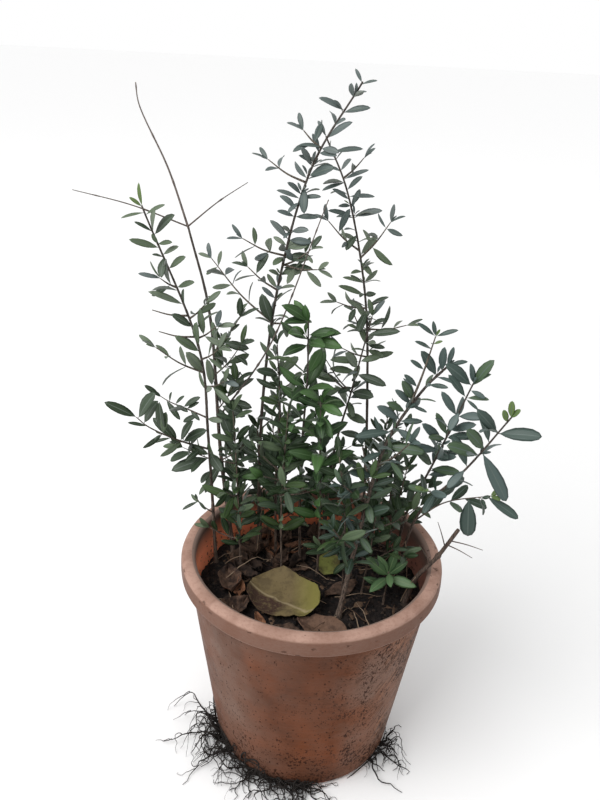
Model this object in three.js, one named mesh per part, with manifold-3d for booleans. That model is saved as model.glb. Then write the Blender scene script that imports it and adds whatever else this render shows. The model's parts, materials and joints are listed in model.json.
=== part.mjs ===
// Olive seedling in a pot: a clump of slender stems from one root, most of them leafy, with one bare
// leader, a dead twig and a cut stub, over soil with fallen leaves and root tufts at the drain holes.
// Millimetres, +Z up, origin at the centre of the pot's flat underside.
import * as THREE from "three";
import { mergeVertices } from "three/addons/utils/BufferGeometryUtils.js";
import Module from "manifold-3d";

const wasm = await Module();
wasm.setup();

// Clearance kept between neighbouring pieces
const GAP = 0.3;

// Pot
const POT_HEIGHT = 246;
const POT_SIDES = 36;
const ROUNDING_STEPS = 3;
const RIM_RADIUS = 140;
const RIM_INNER_RADIUS = 124;
const RIM_HEIGHT = 20;
const RIM_ROUNDING = 9;
const RIM_CHAMFER = 2.5;
const WALL_TOP_RADIUS = 131;
const BASE_RADIUS = 100;
const WALL_THICKNESS = 4;
const FLOOR_THICKNESS = 6;
const FOOT_ROUNDING = 8;
const DRAIN = { width: 24, height: 8, depth: 16 };

// Soil
const SOIL_TOP = 198;
const SOIL_EDGE_DROP = 4;
const SOIL_FLAT_RADIUS = 117;

// Stems and twigs
const STEM_SIDES = 6;
const STEM_STATION = 48;
const TWIG_SIDES = 3;
const TWIG_STATION = 30;
const TWIG_FATTER = 1.25;
const TWIG_LEAST = 1.15;
const TIP_SHARE = 0.42;
const SIDE_TWIG_BASE = 0.6;
const SIDE_TWIG_SHARE = 0.36;
const SIDE_TWIG_BARE = 0.35;
const TWIG_SWEEP = 0.06;
const BARE_TWIG_SWEEP = -0.03;
const FLARE = { share: 0.7, height: 7 };

// Leaves
const LEAF_KEPT = [0.66, 0.3];
const LEAF_ENLARGED = 1.2;
const LEAF_KEEL = 1.2;
const LEAF_ARCH = 0.05;
const LARGE_LEAF = 31;
const LARGE_LEAF_SECTIONS = [{ along: 0.36, wide: 1 }, { along: 0.7, wide: 0.82 }];
const SMALL_LEAF_SECTIONS = [{ along: 0.5, wide: 1.3 }];
const LEAF_FREE_FROM = 0.2;
const LEAF_SUNK = 0.6;
const SKYWARD = 0.6;
const END_LEAF_SHARE = 0.75;
const END_LEAF_SPREAD = THREE.MathUtils.degToRad(28);
const END_LEAF_SUNK = 2.5;
const YOUNG_FROM = 0.75;
const YOUNG_SHARE = 0.35;
const TWIG_REACH = 1.2;
const UNEVEN = { gap: 0.3, turn: 0.6, spread: 26, roll: 1.1, length: 0.4 };
const UP = new THREE.Vector3(0, 0, 1);
const FRONT = new THREE.Vector3(0, -1, 0);
const SIDEWAYS = new THREE.Vector3(1, 0, 0);
const NEARLY_UPRIGHT = 0.9;

// Finishes
const FINISHES = {
  pot: { color: 0xa8674c, roughness: 0.7 },
  soil: { color: 0x2b211b, roughness: 0.95 },
  bark: { color: 0x55483f, roughness: 0.9 },
  deadwood: { color: 0x6b625b, roughness: 0.9 },
  grey: { color: 0x4d5f52, roughness: 0.6 },
  vivid: { color: 0x3d6a33, roughness: 0.55 },
  blue: { color: 0x40575a, roughness: 0.55 },
  young: { color: 0x5c8a4a, roughness: 0.55 },
  yellowed: { color: 0xa8a24a, roughness: 0.8 },
  withered: { color: 0x7a5a3e, roughness: 0.85 },
  root: { color: 0x201a17, roughness: 0.9 },
};

// Shoots of the clump. course holds the foot and the bends up to the tip, bare is the height where the
// bare stem ends and the leafy mass begins, leaf and gap are the leaf's length and the spacing of the
// pairs, slender is a leaf's length over its width. A shoot with a parent leaves that stem at a height.
// twigs and leaves are the ones with a place of their own: the height they leave at, their tip and, where
// it differs, how slender the leaf is. A shoot with its own tip grows no pair at its end by the rule.
const SHOOTS = [
  {
    name: "left", seed: 12, dia: 3.8, bare: 395, finish: "grey",
    leaf: 25, gap: 19, slender: 3.6, twiggy: 0, ownTip: true,
    course: [[-107, 31, SOIL_TOP], [-113, 13, 370], [-119, -1, 470], [-165, -20, 610]],
    twigs: [
      [446, [-159, -10, 475]], [485, [-156, -9, 491]], [507, [-161, -12, 513]], [535, [-152, -14, 544]],
    ],
    leaves: [
      [609, [-166, -24, 630], 5], [602, [-144, -25, 613], 4.6], [604, [-182, -27, 600], 5.5],
      [587, [-152, -29, 608], 2.6], [584, [-136, -26, 605], 2.6], [587, [-171, -25, 597], 4.6],
      [576, [-157, -21, 586], 3.2], [576, [-139, -23, 580], 3.2], [566, [-134, -20, 576], 3.4],
      [564, [-157, -22, 568], 3], [564, [-148, -30, 550], 2.6], [553, [-128, -20, 567], 2.8],
      [535, [-121, -16, 543], 3], [518, [-163, -16, 532], 5], [518, [-131, -16, 536], 3.6],
    ],
  },
  {
    name: "tall_left", seed: 31, dia: 4, bare: 470, finish: "grey",
    leaf: 23, gap: 16, slender: 3.2, twiggy: 0.05, spread: 66, ownTip: true,
    course: [[-61, 54, SOIL_TOP], [-60, 46, 397], [-47, 40, 530], [-20, 34, 642], [19, 30, 714]],
    twigs: [
      [487, [-118, 86, 536]], [521, [-78, 46, 541]], [546, [-18, 28, 566]],
      [556, [-82, 29, 573]], [626, [-61, 45, 643]], [657, [-30, 37, 671]],
    ],
    leaves: [
      [713, [12, 34, 724], 4], [712, [31, 24, 716], 4.4], [701, [9, 23, 713], 2.4],
      [690, [-18, 25, 700], 3.5], [688, [27, 25, 694], 3.7], [677, [6, 20, 684], 2.4],
      [658, [-33, 27, 660], 4.4], [657, [2, 19, 656], 2.8], [643, [-33, 26, 651], 3],
      [632, [-1, 21, 643], 2.6],
    ],
  },
  {
    name: "tall_right", seed: 47, dia: 3.8, bare: 430, finish: "grey",
    leaf: 22, gap: 15, slender: 3.6, twiggy: 0.05, spread: 72,
    course: [[61, 72, SOIL_TOP], [52, 78, 389], [40, 83, 509], [14, 87, 612], [-9, 90, 660]],
    twigs: [[545, [58, 68, 586]], [552, [-2, 78, 582]], [470, [84, 66, 482]], [622, [29, 94, 641]]],
    leaves: [
      [658, [15, 84, 675], 3.2], [646, [27, 85, 651], 4.4], [629, [16, 78, 642], 2.6],
      [621, [34, 84, 632], 5], [618, [-10, 79, 611], 4.4], [605, [42, 83, 607], 4.6],
      [586, [-3, 80, 592], 4.2], [586, [50, 78, 595], 3.6], [506, [12, 77, 517], 4.6],
      [488, [22, 74, 503], 4.6], [488, [35, 64, 473], 2.6], [452, [65, 71, 454], 3.2],
      [447, [64, 66, 446], 3],
    ],
  },
  {
    name: "second_right", seed: 58, dia: 3.4, bare: 380, finish: "grey",
    leaf: 25, gap: 15, slender: 3.4, twiggy: 0.1,
    course: [[14, 60, SOIL_TOP], [19, 62, 330], [33, 63, 406], [48, 65, 490]],
    twigs: [[405, [6, 48, 432]]],
    leaves: [
      [426, [68, 51, 420], 3.2], [405, [55, 43, 410], 2.4], [428, [8, 55, 434], 3.4],
      [440, [8, 58, 443], 3.6], [433, [23, 52, 454], 2.6], [470, [77, 56, 479], 3.6],
    ],
  },
  {
    name: "centre_front", seed: 63, dia: 3.4, bare: 300, finish: "vivid",
    leaf: 34, gap: 19, slender: 2.8, twiggy: 0.02, spread: 70, ownTip: true,
    course: [[-12, 43, SOIL_TOP], [-17, 16, 345], [-15, -6, 450], [-17, -24, 514]],
    leaves: [
      [514, [-41, -34, 532]], [514, [-31, -16, 531]], [513, [-21, -28, 531], 2.6], [513, [-39, -42, 518], 3],
      [494, [-34, -42, 509], 2.3], [499, [13, -28, 506]], [494, [15, -34, 494]], [491, [-1, -45, 499]],
      [488, [-39, -30, 482], 2.6],
    ],
  },
  {
    name: "centre_left", seed: 71, dia: 3.2, bare: 310, finish: "grey",
    leaf: 25, gap: 15, slender: 3.2, twiggy: 0.1,
    course: [[-40, 48, SOIL_TOP], [-43, 35, 320], [-41, 27, 400], [-46, 20, 472]],
  },
  {
    name: "centre_low", seed: 89, dia: 2.8, bare: 275, finish: "vivid",
    leaf: 32, gap: 18, slender: 2.8, twiggy: 0.05, spread: 68, ownTip: true,
    course: [[8, 18, SOIL_TOP], [6, 4, 300], [2, -6, 360], [-1, -12, 432]],
    leaves: [
      [431, [7, -20, 446], 2.6], [425, [20, -31, 424]], [414, [12, -33, 400], 3], [412, [2, -40, 402], 3],
      [430, [-21, -28, 445], 2.6],
    ],
  },
  {
    name: "right", seed: 95, dia: 6.4, bare: 330, finish: "blue",
    leaf: 26, gap: 14, slender: 3, twiggy: 0.08,
    course: [[30, -52, SOIL_TOP], [48, -32, 310], [66, -15, 388], [99, -4, 445], [118, 0, 466]],
    twigs: [[425, [97, -20, 512]], [365, [84, -44, 404]]],
  },
  {
    name: "right_outer", seed: 104, dia: 3.4, bare: 330, finish: "blue",
    leaf: 28, gap: 17, slender: 3, twiggy: 0.08,
    course: [[99, 52, SOIL_TOP], [101, 30, 275], [118, 5, 355], [137, -36, 466]],
    leaves: [[462, [150, -45, 494]]],
  },
  {
    name: "right_low", seed: 118, dia: 3.6, bare: 305, finish: "blue",
    leaf: 30, gap: 21, slender: 2.7, twiggy: 0.04,
    course: [[101, 41, SOIL_TOP], [110, -2, 301], [143, -38, 378], [166, -75, 453]],
    leaves: [[430, [194, -80, 438]], [430, [136, -72, 456]], [403, [182, -54, 352], 3.8]],
  },
  {
    name: "right_lowest", seed: 127, dia: 2, parent: "right_low", height: 286,
    leaf: 24, gap: 17, slender: 2.6, twiggy: 0, finish: "blue",
    course: [[131, -20, 326], [168, -45, 352]],
    leaves: [[341, [155, -36, 297]], [350, [196, -55, 334], 3.8]],
  },
  {
    name: "low_left", seed: 133, dia: 2.2, parent: "left", height: 345,
    leaf: 28, gap: 14, slender: 3.6, twiggy: 0.1, finish: "grey",
    course: [[-140, -25, 386], [-176, -66, 427]],
    leaves: [[349, [-147, -12, 342]], [425, [-194, -75, 446]]],
  },
  {
    name: "low_left_back", seed: 149, dia: 2, parent: "left", height: 376,
    leaf: 28, gap: 15, slender: 3.2, twiggy: 0.1, finish: "grey",
    course: [[-150, 22, 408], [-180, 20, 424]],
    leaves: [[420, [-184, 15, 393]], [412, [-163, 10, 377]]],
  },
  { name: "sprig_1", seed: 151, parent: "leader", height: 447, course: [[-85, 45, 489]], leaf: 30 },
  { name: "sprig_2", seed: 162, parent: "leader", height: 422, course: [[-83, 38, 462]], leaf: 30 },
  { name: "sprig_3", seed: 173, parent: "leader", height: 382, course: [[-87, 33, 425]], leaf: 32 },
  { name: "sprig_4", seed: 184, parent: "leader", height: 322, course: [[-72, 26, 362]], leaf: 26 },
  { name: "sprig_5", seed: 195, parent: "left", height: 270, course: [[-141, 8, 286]], leaf: 20 },
  { name: "low_1", seed: 201, course: [[-58, 72, SOIL_TOP], [-62, 68, 280], [-66, 64, 356]], leaf: 24 },
  { name: "low_2", seed: 212, course: [[-78, 20, SOIL_TOP], [-82, 16, 300], [-88, 14, 400]], leaf: 26 },
  { name: "low_3", seed: 223, course: [[-32, 10, SOIL_TOP], [-35, 2, 310], [-32, -4, 412]], leaf: 26 },
  { name: "low_4", seed: 234, course: [[78, 22, SOIL_TOP], [86, 18, 270], [94, 14, 345]], leaf: 24 },
  { name: "low_5", seed: 245, course: [[60, 42, SOIL_TOP], [67, 40, 300], [71, 38, 388]], leaf: 25 },
  { name: "low_6", seed: 256, course: [[56, -14, SOIL_TOP], [60, -20, 260], [62, -28, 322]], leaf: 24 },
  { name: "low_7", seed: 267, course: [[36, -8, SOIL_TOP], [31, -28, 300], [20, -34, 380]], leaf: 26 },
  { name: "back_1", seed: 278, course: [[-36, 88, SOIL_TOP], [-44, 96, 280], [-52, 102, 352]], leaf: 24 },
  { name: "back_2", seed: 289, course: [[16, 96, SOIL_TOP], [10, 104, 280], [0, 110, 346]], leaf: 24 },
  { name: "back_3", seed: 290, course: [[82, 78, SOIL_TOP], [92, 86, 280], [100, 92, 350]], leaf: 24 },
  {
    name: "sprout", seed: 301, course: [[79, -27, SOIL_TOP], [80, -25, 215], [82, -22, 238]],
    leaf: 27, gap: 8, slender: 2.8, finish: "young", firstLeaf: 20, spread: 72,
  },
];
const SPRIG = { dia: 1.8, gap: 13, slender: 3.4, twiggy: 0, finish: "grey" };
const LOW_SHOOT = { dia: 2.6, gap: 14, slender: 3.2, twiggy: 0.13, finish: "grey", firstLeaf: 34 };
const LEAF_SPREAD = 58;
const FIRST_LEAF = 9;

// Bare and dead limbs
const LEADER = {
  dia: 5,
  course: [[-88, 44, SOIL_TOP], [-104, 49, 330], [-117, 56, 491], [-137, 60, 572]],
};
const LEADER_CROWN = {
  dia: 2.4,
  course: [[-137, 60, 572], [-157, 70, 626], [-185, 81, 682], [-188, 85, 700]],
  twigs: [[574, [-237, 25, 611]], [574, [-84, 106, 610]]],
};
const DEAD_TWIG = { dia: 2.2, height: 372, course: [[-55, 20, 467], [-6, -50, 629]] };
const STUB = {
  dia: 6,
  cutShare: 0.3,
  station: 24,
  twigDia: 1.4,
  course: [[102, -24, SOIL_TOP], [110, -32, 240], [126, -40, 272], [141, -50, 314]],
  twigs: [[298, [165, -62, 300]], [292, [156, -62, 290]], [288, [120, -50, 322]], [262, [106, -46, 290]]],
};

// Fallen leaves and a bark chip: centre on the soil, length, width, thickness and turn in degrees
const LITTER = [
  { name: "litter_yellow_large", at: [-27, -33], size: [84, 66, 1], turn: -33, finish: "yellowed" },
  { name: "litter_yellow_small", at: [20, 36], size: [30, 16, 0.8], turn: 70, finish: "yellowed" },
  { name: "litter_brown_1", at: [-88, -6], size: [40, 25, 0.8], turn: 100, finish: "withered" },
  { name: "litter_brown_2", at: [-78, -54], size: [40, 23, 0.8], turn: 55, finish: "withered" },
  { name: "litter_brown_3", at: [13, -75], size: [50, 32, 0.8], turn: 160, finish: "withered" },
  { name: "litter_bark", at: [-12, 68], size: [34, 11, 3], turn: 15, finish: "withered" },
];

const LITTER_BELLY = { lower: -0.2, upper: -0.1, wide: 0.95 };
const LITTER_STEPS = 5;

// Root tufts: direction in degrees, reach beyond the foot, half spread of the fan and number of roots
const ROOT_TUFTS = [
  { name: "roots_left", angle: 215, reach: 58, spread: 26, count: 10, seed: 311 },
  { name: "roots_front", angle: 254, reach: 32, spread: 20, count: 6, seed: 322 },
  { name: "roots_right", angle: 326, reach: 46, spread: 20, count: 6, seed: 333 },
];
const SPARE_DRAIN_ANGLE = 90;
const ROOT = { dia: 1.6, knot: 5, lift: 7, stations: 3, shortest: 0.55 };

const vector = ([x, y, z]) => new THREE.Vector3(x, y, z);
const radians = THREE.MathUtils.degToRad;

// Generator of repeatable numbers between 0 and 1
const SEEDS = 1e6;
function seeded(seed) {
  let state = seed;
  return () => {
    state = (state * 16807) % 2147483647;
    return state / 2147483647;
  };
}

// Stretch of a curve between two shares of its length
class Stretch extends THREE.Curve {
  constructor(curve, from, to) {
    super();
    this.curve = curve;
    this.from = from;
    this.to = to;
  }

  getPoint(share, target = new THREE.Vector3()) {
    return this.curve.getPointAt(this.from + (this.to - this.from) * share, target);
  }
}

// Share of a rising curve's length at which it reaches a height
function shareAtHeight(curve, height) {
  let low = 0;
  let high = 1;
  for (let step = 0; step < 24; step += 1) {
    const middle = (low + high) / 2;
    if (curve.getPointAt(middle).z < height) {
      low = middle;
    } else {
      high = middle;
    }
  }
  return low;
}

// Closed geometry to a solid, with its shared corners merged and collapsed faces dropped
function solidOf(geometry) {
  geometry.deleteAttribute("normal");
  geometry.deleteAttribute("uv");
  const merged = mergeVertices(geometry, 1e-3);
  const triangles = [];
  for (let i = 0; i < merged.index.count; i += 3) {
    const corners = [0, 1, 2].map((k) => merged.index.getX(i + k));
    if (new Set(corners).size === 3) {
      triangles.push(...corners);
    }
  }
  const vertProperties = new Float32Array(merged.attributes.position.array);
  return new wasm.Manifold(
    new wasm.Mesh({ numProp: 3, vertProperties, triVerts: new Uint32Array(triangles) }),
  );
}

// Closed solid of corners and triangles
function solidFrom(corners, faces) {
  const geometry = new THREE.BufferGeometry().setFromPoints(corners);
  geometry.setIndex(faces);
  return solidOf(geometry);
}

// Faces of the sleeve between a ring of corners and the next one
function sleeve(first, sides) {
  return Array.from({ length: sides }, (_, k) => {
    const a = first + k;
    const b = first + ((k + 1) % sides);
    return [a, b, b + sides, a, b + sides, a + sides];
  }).flat();
}

// Tapering limb along a curve; a flat foot is cut level
function limb(curve, radiusAt, sides, station, flatFoot = false) {
  const stations = Math.max(2, Math.round(curve.getLength() / station));
  const { tangents, normals, binormals } = curve.computeFrenetFrames(stations, false);
  const rings = tangents.map((tangent, i) => {
    const centre = curve.getPointAt(i / stations);
    const radius = radiusAt(i / stations);
    return Array.from({ length: sides }, (_, k) => {
      const turn = (2 * Math.PI * k) / sides;
      const corner = centre.clone();
      corner.addScaledVector(normals[i], radius * Math.cos(turn));
      corner.addScaledVector(binormals[i], radius * Math.sin(turn));
      if (flatFoot && i === 0) {
        corner.addScaledVector(tangent, (centre.z - corner.z) / tangent.z);
      }
      return corner;
    });
  });
  const faces = rings.slice(1).flatMap((_, i) => sleeve(i * sides, sides));
  const end = stations * sides;
  for (let k = 1; k + 1 < sides; k += 1) {
    faces.push(0, k + 1, k, end, end + k, end + k + 1);
  }
  return solidFrom(rings.flat(), faces);
}

// Leaf of a place: a root point sunk past the twig's middle, sections of two edges and a keel, a tip.
// For tests it starts further out and has a margin on all sides.
function leafSolid({ root, aim, face, length, width }, rootShare = -LEAF_SUNK / length, margin = 0) {
  const side = aim.clone().cross(face);
  const point = (along, across, up) => {
    const corner = root.clone().addScaledVector(aim, along * length).addScaledVector(side, across);
    return corner.addScaledVector(face, LEAF_ARCH * length * Math.sin(Math.PI * along) + up);
  };
  const corners = [point(rootShare, 0, 0)];
  for (const { along, wide } of length > LARGE_LEAF ? LARGE_LEAF_SECTIONS : SMALL_LEAF_SECTIONS) {
    const half = (wide * width) / 2 + margin;
    corners.push(point(along, -half, margin), point(along, half, margin));
    corners.push(point(along, 0, -LEAF_KEEL - margin));
  }
  corners.push(root.clone().addScaledVector(aim, length + margin));
  const tip = corners.length - 1;
  const [left, right, keel] = [tip - 3, tip - 2, tip - 1];
  const faces = [0, 2, 1, 0, 3, 2, 0, 1, 3, left, right, tip, right, keel, tip, keel, left, tip];
  for (let first = 1; first + 3 < tip; first += 3) {
    faces.push(...sleeve(first, 3));
  }
  return solidFrom(corners, faces);
}

// Solid with its box, for quick tests, and the shoot that it belongs to
const boxed = (solid, owner = null) => ({ solid, box: solid.boundingBox(), owner });

// Whether a solid of a shoot touches none of the others
function isClear(solid, others, owner) {
  const box = solid.boundingBox();
  return others.every((other) => {
    const apart = [0, 1, 2].some((k) => box.max[k] < other.box.min[k] || box.min[k] > other.box.max[k]);
    return apart || (owner && other.owner === owner) || solid.intersect(other.solid).isEmpty();
  });
}

// Solids that hold their space, which nothing of another shoot may touch
const placed = [];

// Largest piece of a fused solid: loose scraps are dropped and sealed hollows filled
function largest(solid) {
  const pieces = solid.decompose();
  return pieces.reduce((best, piece) => (piece.volume() > best.volume() ? piece : best));
}

const group = new THREE.Group();

function addMesh(name, solid, finish, owner = null) {
  const { vertProperties, triVerts } = solid.getMesh();
  const geometry = new THREE.BufferGeometry();
  geometry.setAttribute("position", new THREE.BufferAttribute(vertProperties, 3));
  geometry.setIndex(new THREE.BufferAttribute(triVerts, 1));
  geometry.computeVertexNormals();
  const material = new THREE.MeshStandardMaterial({ metalness: 0, ...FINISHES[finish] });
  const mesh = new THREE.Mesh(geometry, material);
  mesh.name = name;
  group.add(mesh);
  placed.push(boxed(solid, owner));
}

// Radius of the pot's outer wall at a height
function wallRadius(z) {
  return BASE_RADIUS + ((WALL_TOP_RADIUS - BASE_RADIUS) * z) / (POT_HEIGHT - RIM_HEIGHT);
}

// Turned solid from a closed outline of radius and height
function turned(outline) {
  const lathe = new THREE.LatheGeometry(outline.getPoints(ROUNDING_STEPS), POT_SIDES);
  return solidOf(lathe.rotateX(Math.PI / 2));
}

// Pot: tapering wall on a flat floor with a rounded foot, a rolled rim and drain notches at the foot
function makePot() {
  const bandFoot = POT_HEIGHT - RIM_HEIGHT;
  const innerTop = wallRadius(bandFoot) - WALL_THICKNESS;
  const innerFoot = wallRadius(FLOOR_THICKNESS) - WALL_THICKNESS;
  const outline = new THREE.Path();
  outline.moveTo(0, 0);
  outline.lineTo(BASE_RADIUS - FOOT_ROUNDING, 0);
  outline.quadraticCurveTo(wallRadius(0), 0, wallRadius(FOOT_ROUNDING), FOOT_ROUNDING);
  outline.lineTo(wallRadius(bandFoot), bandFoot);
  outline.lineTo(RIM_RADIUS - RIM_CHAMFER, bandFoot);
  outline.lineTo(RIM_RADIUS, bandFoot + RIM_CHAMFER);
  outline.lineTo(RIM_RADIUS, POT_HEIGHT - RIM_ROUNDING);
  outline.quadraticCurveTo(RIM_RADIUS, POT_HEIGHT, RIM_RADIUS - RIM_ROUNDING, POT_HEIGHT);
  outline.quadraticCurveTo(RIM_INNER_RADIUS, POT_HEIGHT, RIM_INNER_RADIUS, POT_HEIGHT - RIM_ROUNDING);
  outline.lineTo(innerTop, bandFoot);
  outline.lineTo(innerFoot, FLOOR_THICKNESS);
  outline.lineTo(0, FLOOR_THICKNESS);
  let pot = turned(outline);
  for (const angle of [...ROOT_TUFTS.map((tuft) => tuft.angle), SPARE_DRAIN_ANGLE]) {
    const notch = new THREE.BoxGeometry(2 * DRAIN.depth, DRAIN.width, 2 * DRAIN.height);
    notch.translate(BASE_RADIUS, 0, 0).rotateZ(radians(angle));
    pot = pot.subtract(solidOf(notch));
  }
  addMesh("pot", pot, "pot");
}

// Soil: fills the pot to a level top that dips at the wall
function makeSoil() {
  const bottom = FLOOR_THICKNESS + GAP;
  const edge = SOIL_TOP - SOIL_EDGE_DROP;
  const outline = new THREE.Path();
  outline.moveTo(0, bottom);
  outline.lineTo(wallRadius(bottom) - WALL_THICKNESS - GAP, bottom);
  outline.lineTo(wallRadius(edge) - WALL_THICKNESS - GAP, edge);
  outline.lineTo(SOIL_FLAT_RADIUS, SOIL_TOP);
  outline.lineTo(0, SOIL_TOP);
  addMesh("soil", turned(outline), "soil");
}

// Course of a shoot that stands on the soil, its foot just clear of it
function rootedCourse(points) {
  const course = points.map(vector);
  course[0].z += GAP;
  return new THREE.CatmullRomCurve3(course);
}

// Radius along a limb that tapers to its tip, with a flare above a foot on the soil
function taper(dia, length, flared) {
  return (share) => {
    const radius = (dia / 2) * (1 - (1 - TIP_SHARE) * share);
    const flare = flared ? FLARE.share * Math.exp((-share * length) / FLARE.height) : 0;
    return radius * (1 + flare);
  };
}

// Side twig from a point on a shoot to its tip, with an upward sweep
function twigCurve(root, tip, sweep = TWIG_SWEEP) {
  const middle = root.clone().lerp(tip, 0.5);
  middle.z -= root.distanceTo(tip) * sweep;
  return new THREE.CatmullRomCurve3([root, middle, tip]);
}

// Three-sided twig, a little wider across its corners than the round twig it stands for
function twigRadius(radius) {
  return Math.max(TWIG_LEAST, radius * TWIG_FATTER);
}

function twigLimb(curve, dia, margin = 0) {
  const radiusAt = taper(dia, 0, false);
  return limb(curve, (share) => twigRadius(radiusAt(share)) + margin, TWIG_SIDES, TWIG_STATION);
}

// Direction that leaves a shoot at a spread from its own, turned round it
function outward(along, turn, spread) {
  const reference = Math.abs(along.z) < NEARLY_UPRIGHT ? UP : SIDEWAYS;
  const first = reference.clone().cross(along).normalize();
  const second = along.clone().cross(first);
  const out = first.multiplyScalar(Math.cos(turn)).addScaledVector(second, Math.sin(turn));
  return along.clone().multiplyScalar(Math.cos(spread)).addScaledVector(out, Math.sin(spread));
}

// Upper side of a leaf: square to its aim, turned to the shoot's tip and the sky, with a roll
function upperSide(aim, along, roll) {
  const face = along.clone().addScaledVector(UP, SKYWARD);
  face.addScaledVector(aim, -face.dot(aim));
  return face.normalize().applyAxisAngle(aim, roll);
}

// Leaf at a place, if it is clear of the other shoots and of the rest of its own mass
function addLeaf(plan, root, aim, face, length, slender = plan.shoot.slender) {
  const long = length * LEAF_ENLARGED;
  const place = { root, aim, face, length: long, width: long / slender };
  const spaced = isClear(leafSolid(place, 0, GAP), placed, plan.shoot.name);
  if (spaced && isClear(leafSolid(place, LEAF_FREE_FROM, GAP), plan.parts)) {
    plan.parts.push(boxed(leafSolid(place)));
  }
}

// Leaf with a place of its own, from its root on the shoot to its tip, its upper side to the front
function addPlacedLeaf(plan, height, tip, slender) {
  const root = plan.curve.getPointAt(shareAtHeight(plan.curve, height));
  const aim = vector(tip).sub(root);
  const length = aim.length();
  aim.normalize();
  addLeaf(plan, root, aim, upperSide(aim, FRONT, 0), length / LEAF_ENLARGED, slender);
}

// Side twig, if it is clear of the other shoots
function addTwig(plan, curve) {
  const dia = SIDE_TWIG_BASE + SIDE_TWIG_SHARE * plan.shoot.dia;
  const spaced = isClear(twigLimb(curve, dia, 2 * GAP), placed, plan.shoot.name);
  if (spaced) {
    plan.parts.push(boxed(twigLimb(curve, dia), plan.shoot.name));
  }
  return spaced;
}

// Leaves of a side twig, grown by a generator of their own
function growTwigLeaves(plan, curve, lot) {
  growLeaves(plan, curve, curve.getLength() * SIDE_TWIG_BARE, seeded(1 + Math.floor(lot * SEEDS)), 1);
}

// Leaves along one curve: opposite pairs, each a quarter turn from the last, and a pair at the end.
// On a main shoot a side twig takes the place of some leaves.
function growLeaves(plan, curve, firstLeaf, draw, depth) {
  const { leaf, gap, twiggy, spread = LEAF_SPREAD } = plan.shoot;
  const length = curve.getLength();
  const twigShare = depth === 0 ? twiggy : 0;
  const uneven = (most, lot) => most * (lot - 0.5);
  let turn = draw() * Math.PI;
  let reach = firstLeaf;
  while (reach < length - gap / 2) {
    const share = reach / length;
    const along = curve.getTangentAt(share);
    const root = curve.getPointAt(share);
    const young = 1 - (YOUNG_SHARE * Math.max(0, share - YOUNG_FROM)) / (1 - YOUNG_FROM);
    turn += Math.PI / 2 + uneven(UNEVEN.turn, draw());
    for (const half of [0, Math.PI]) {
      const [lot, wide, long, roll] = [draw(), draw(), draw(), draw()];
      const aim = outward(along, turn + half, radians(spread + uneven(UNEVEN.spread, wide)));
      if (lot < twigShare && share < YOUNG_FROM) {
        const tip = root.clone().addScaledVector(aim, leaf * (TWIG_REACH + long));
        const twig = twigCurve(root, tip);
        if (addTwig(plan, twig)) {
          growTwigLeaves(plan, twig, long);
        }
      } else if (lot < twigShare + LEAF_KEPT[depth]) {
        const face = upperSide(aim, along, uneven(UNEVEN.roll, roll));
        addLeaf(plan, root, aim, face, leaf * young * (1 + uneven(UNEVEN.length, long)));
      }
    }
    reach += gap * (1 + uneven(UNEVEN.gap, draw()));
  }
  if (depth === 0 && plan.shoot.ownTip) {
    return;
  }
  const along = curve.getTangentAt(1);
  const root = curve.getPointAt(1).addScaledVector(along, -END_LEAF_SUNK);
  for (const half of [0, Math.PI]) {
    const aim = outward(along, turn + half, END_LEAF_SPREAD);
    addLeaf(plan, root, aim, upperSide(aim, along, 0), leaf * END_LEAF_SHARE);
  }
}

// Plan of a mass: its own stem and the twigs with a place, which hold their space before leaves grow
function planMass(shoot, curve, axis, firstLeaf, cut = null) {
  const parts = [boxed(axis, shoot.name)];
  const plan = { shoot, curve, firstLeaf, cut, draw: seeded(shoot.seed), parts, twigs: [] };
  for (const [height, tip] of shoot.twigs ?? []) {
    const root = curve.getPointAt(shareAtHeight(curve, height));
    const twig = twigCurve(root, vector(tip));
    const lot = plan.draw();
    if (addTwig(plan, twig)) {
      plan.twigs.push({ twig, lot });
    }
  }
  placed.push(...plan.parts);
  return plan;
}

// Leafy mass of a plan, fused to one solid and cut clear of the stem that it leaves
function growMass(plan) {
  const { shoot, cut } = plan;
  for (const [height, tip, slender] of shoot.leaves ?? []) {
    addPlacedLeaf(plan, height, tip, slender);
  }
  for (const { twig, lot } of plan.twigs) {
    growTwigLeaves(plan, twig, lot);
  }
  growLeaves(plan, plan.curve, plan.firstLeaf, plan.draw, 0);
  const fused = wasm.Manifold.union(plan.parts.map((part) => part.solid));
  addMesh(`mass_${shoot.name}`, largest(cut ? fused.subtract(cut) : fused), shoot.finish, shoot.name);
}

// Courses and thicknesses of the stems that other shoots leave from
const stems = {};

// Bare stem from the soil up to a height, or to its tip
function makeStem(name, { course, dia, bare }, finish) {
  const curve = rootedCourse(course);
  const length = curve.getLength();
  const radiusAt = taper(dia, length, true);
  const end = bare ? shareAtHeight(curve, bare) : 1;
  const stretch = new Stretch(curve, 0, end);
  const radius = (share) => radiusAt(share * end);
  addMesh(`stem_${name}`, limb(stretch, radius, STEM_SIDES, STEM_STATION, true), finish);
  const grown = limb(stretch, (share) => radius(share) + GAP, STEM_SIDES, STEM_STATION, true);
  stems[name] = { curve, length, end, radiusAt, grown };
}

// Leafy mass that carries on from its stem's end
function planCrown(shoot) {
  const { curve, length, end, radiusAt } = stems[shoot.name];
  const stretch = new Stretch(curve, end + GAP / length, 1);
  const radius = (share) => twigRadius(radiusAt(end + (1 - end) * share));
  return planMass(shoot, stretch, limb(stretch, radius, TWIG_SIDES, TWIG_STATION), FIRST_LEAF);
}

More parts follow.
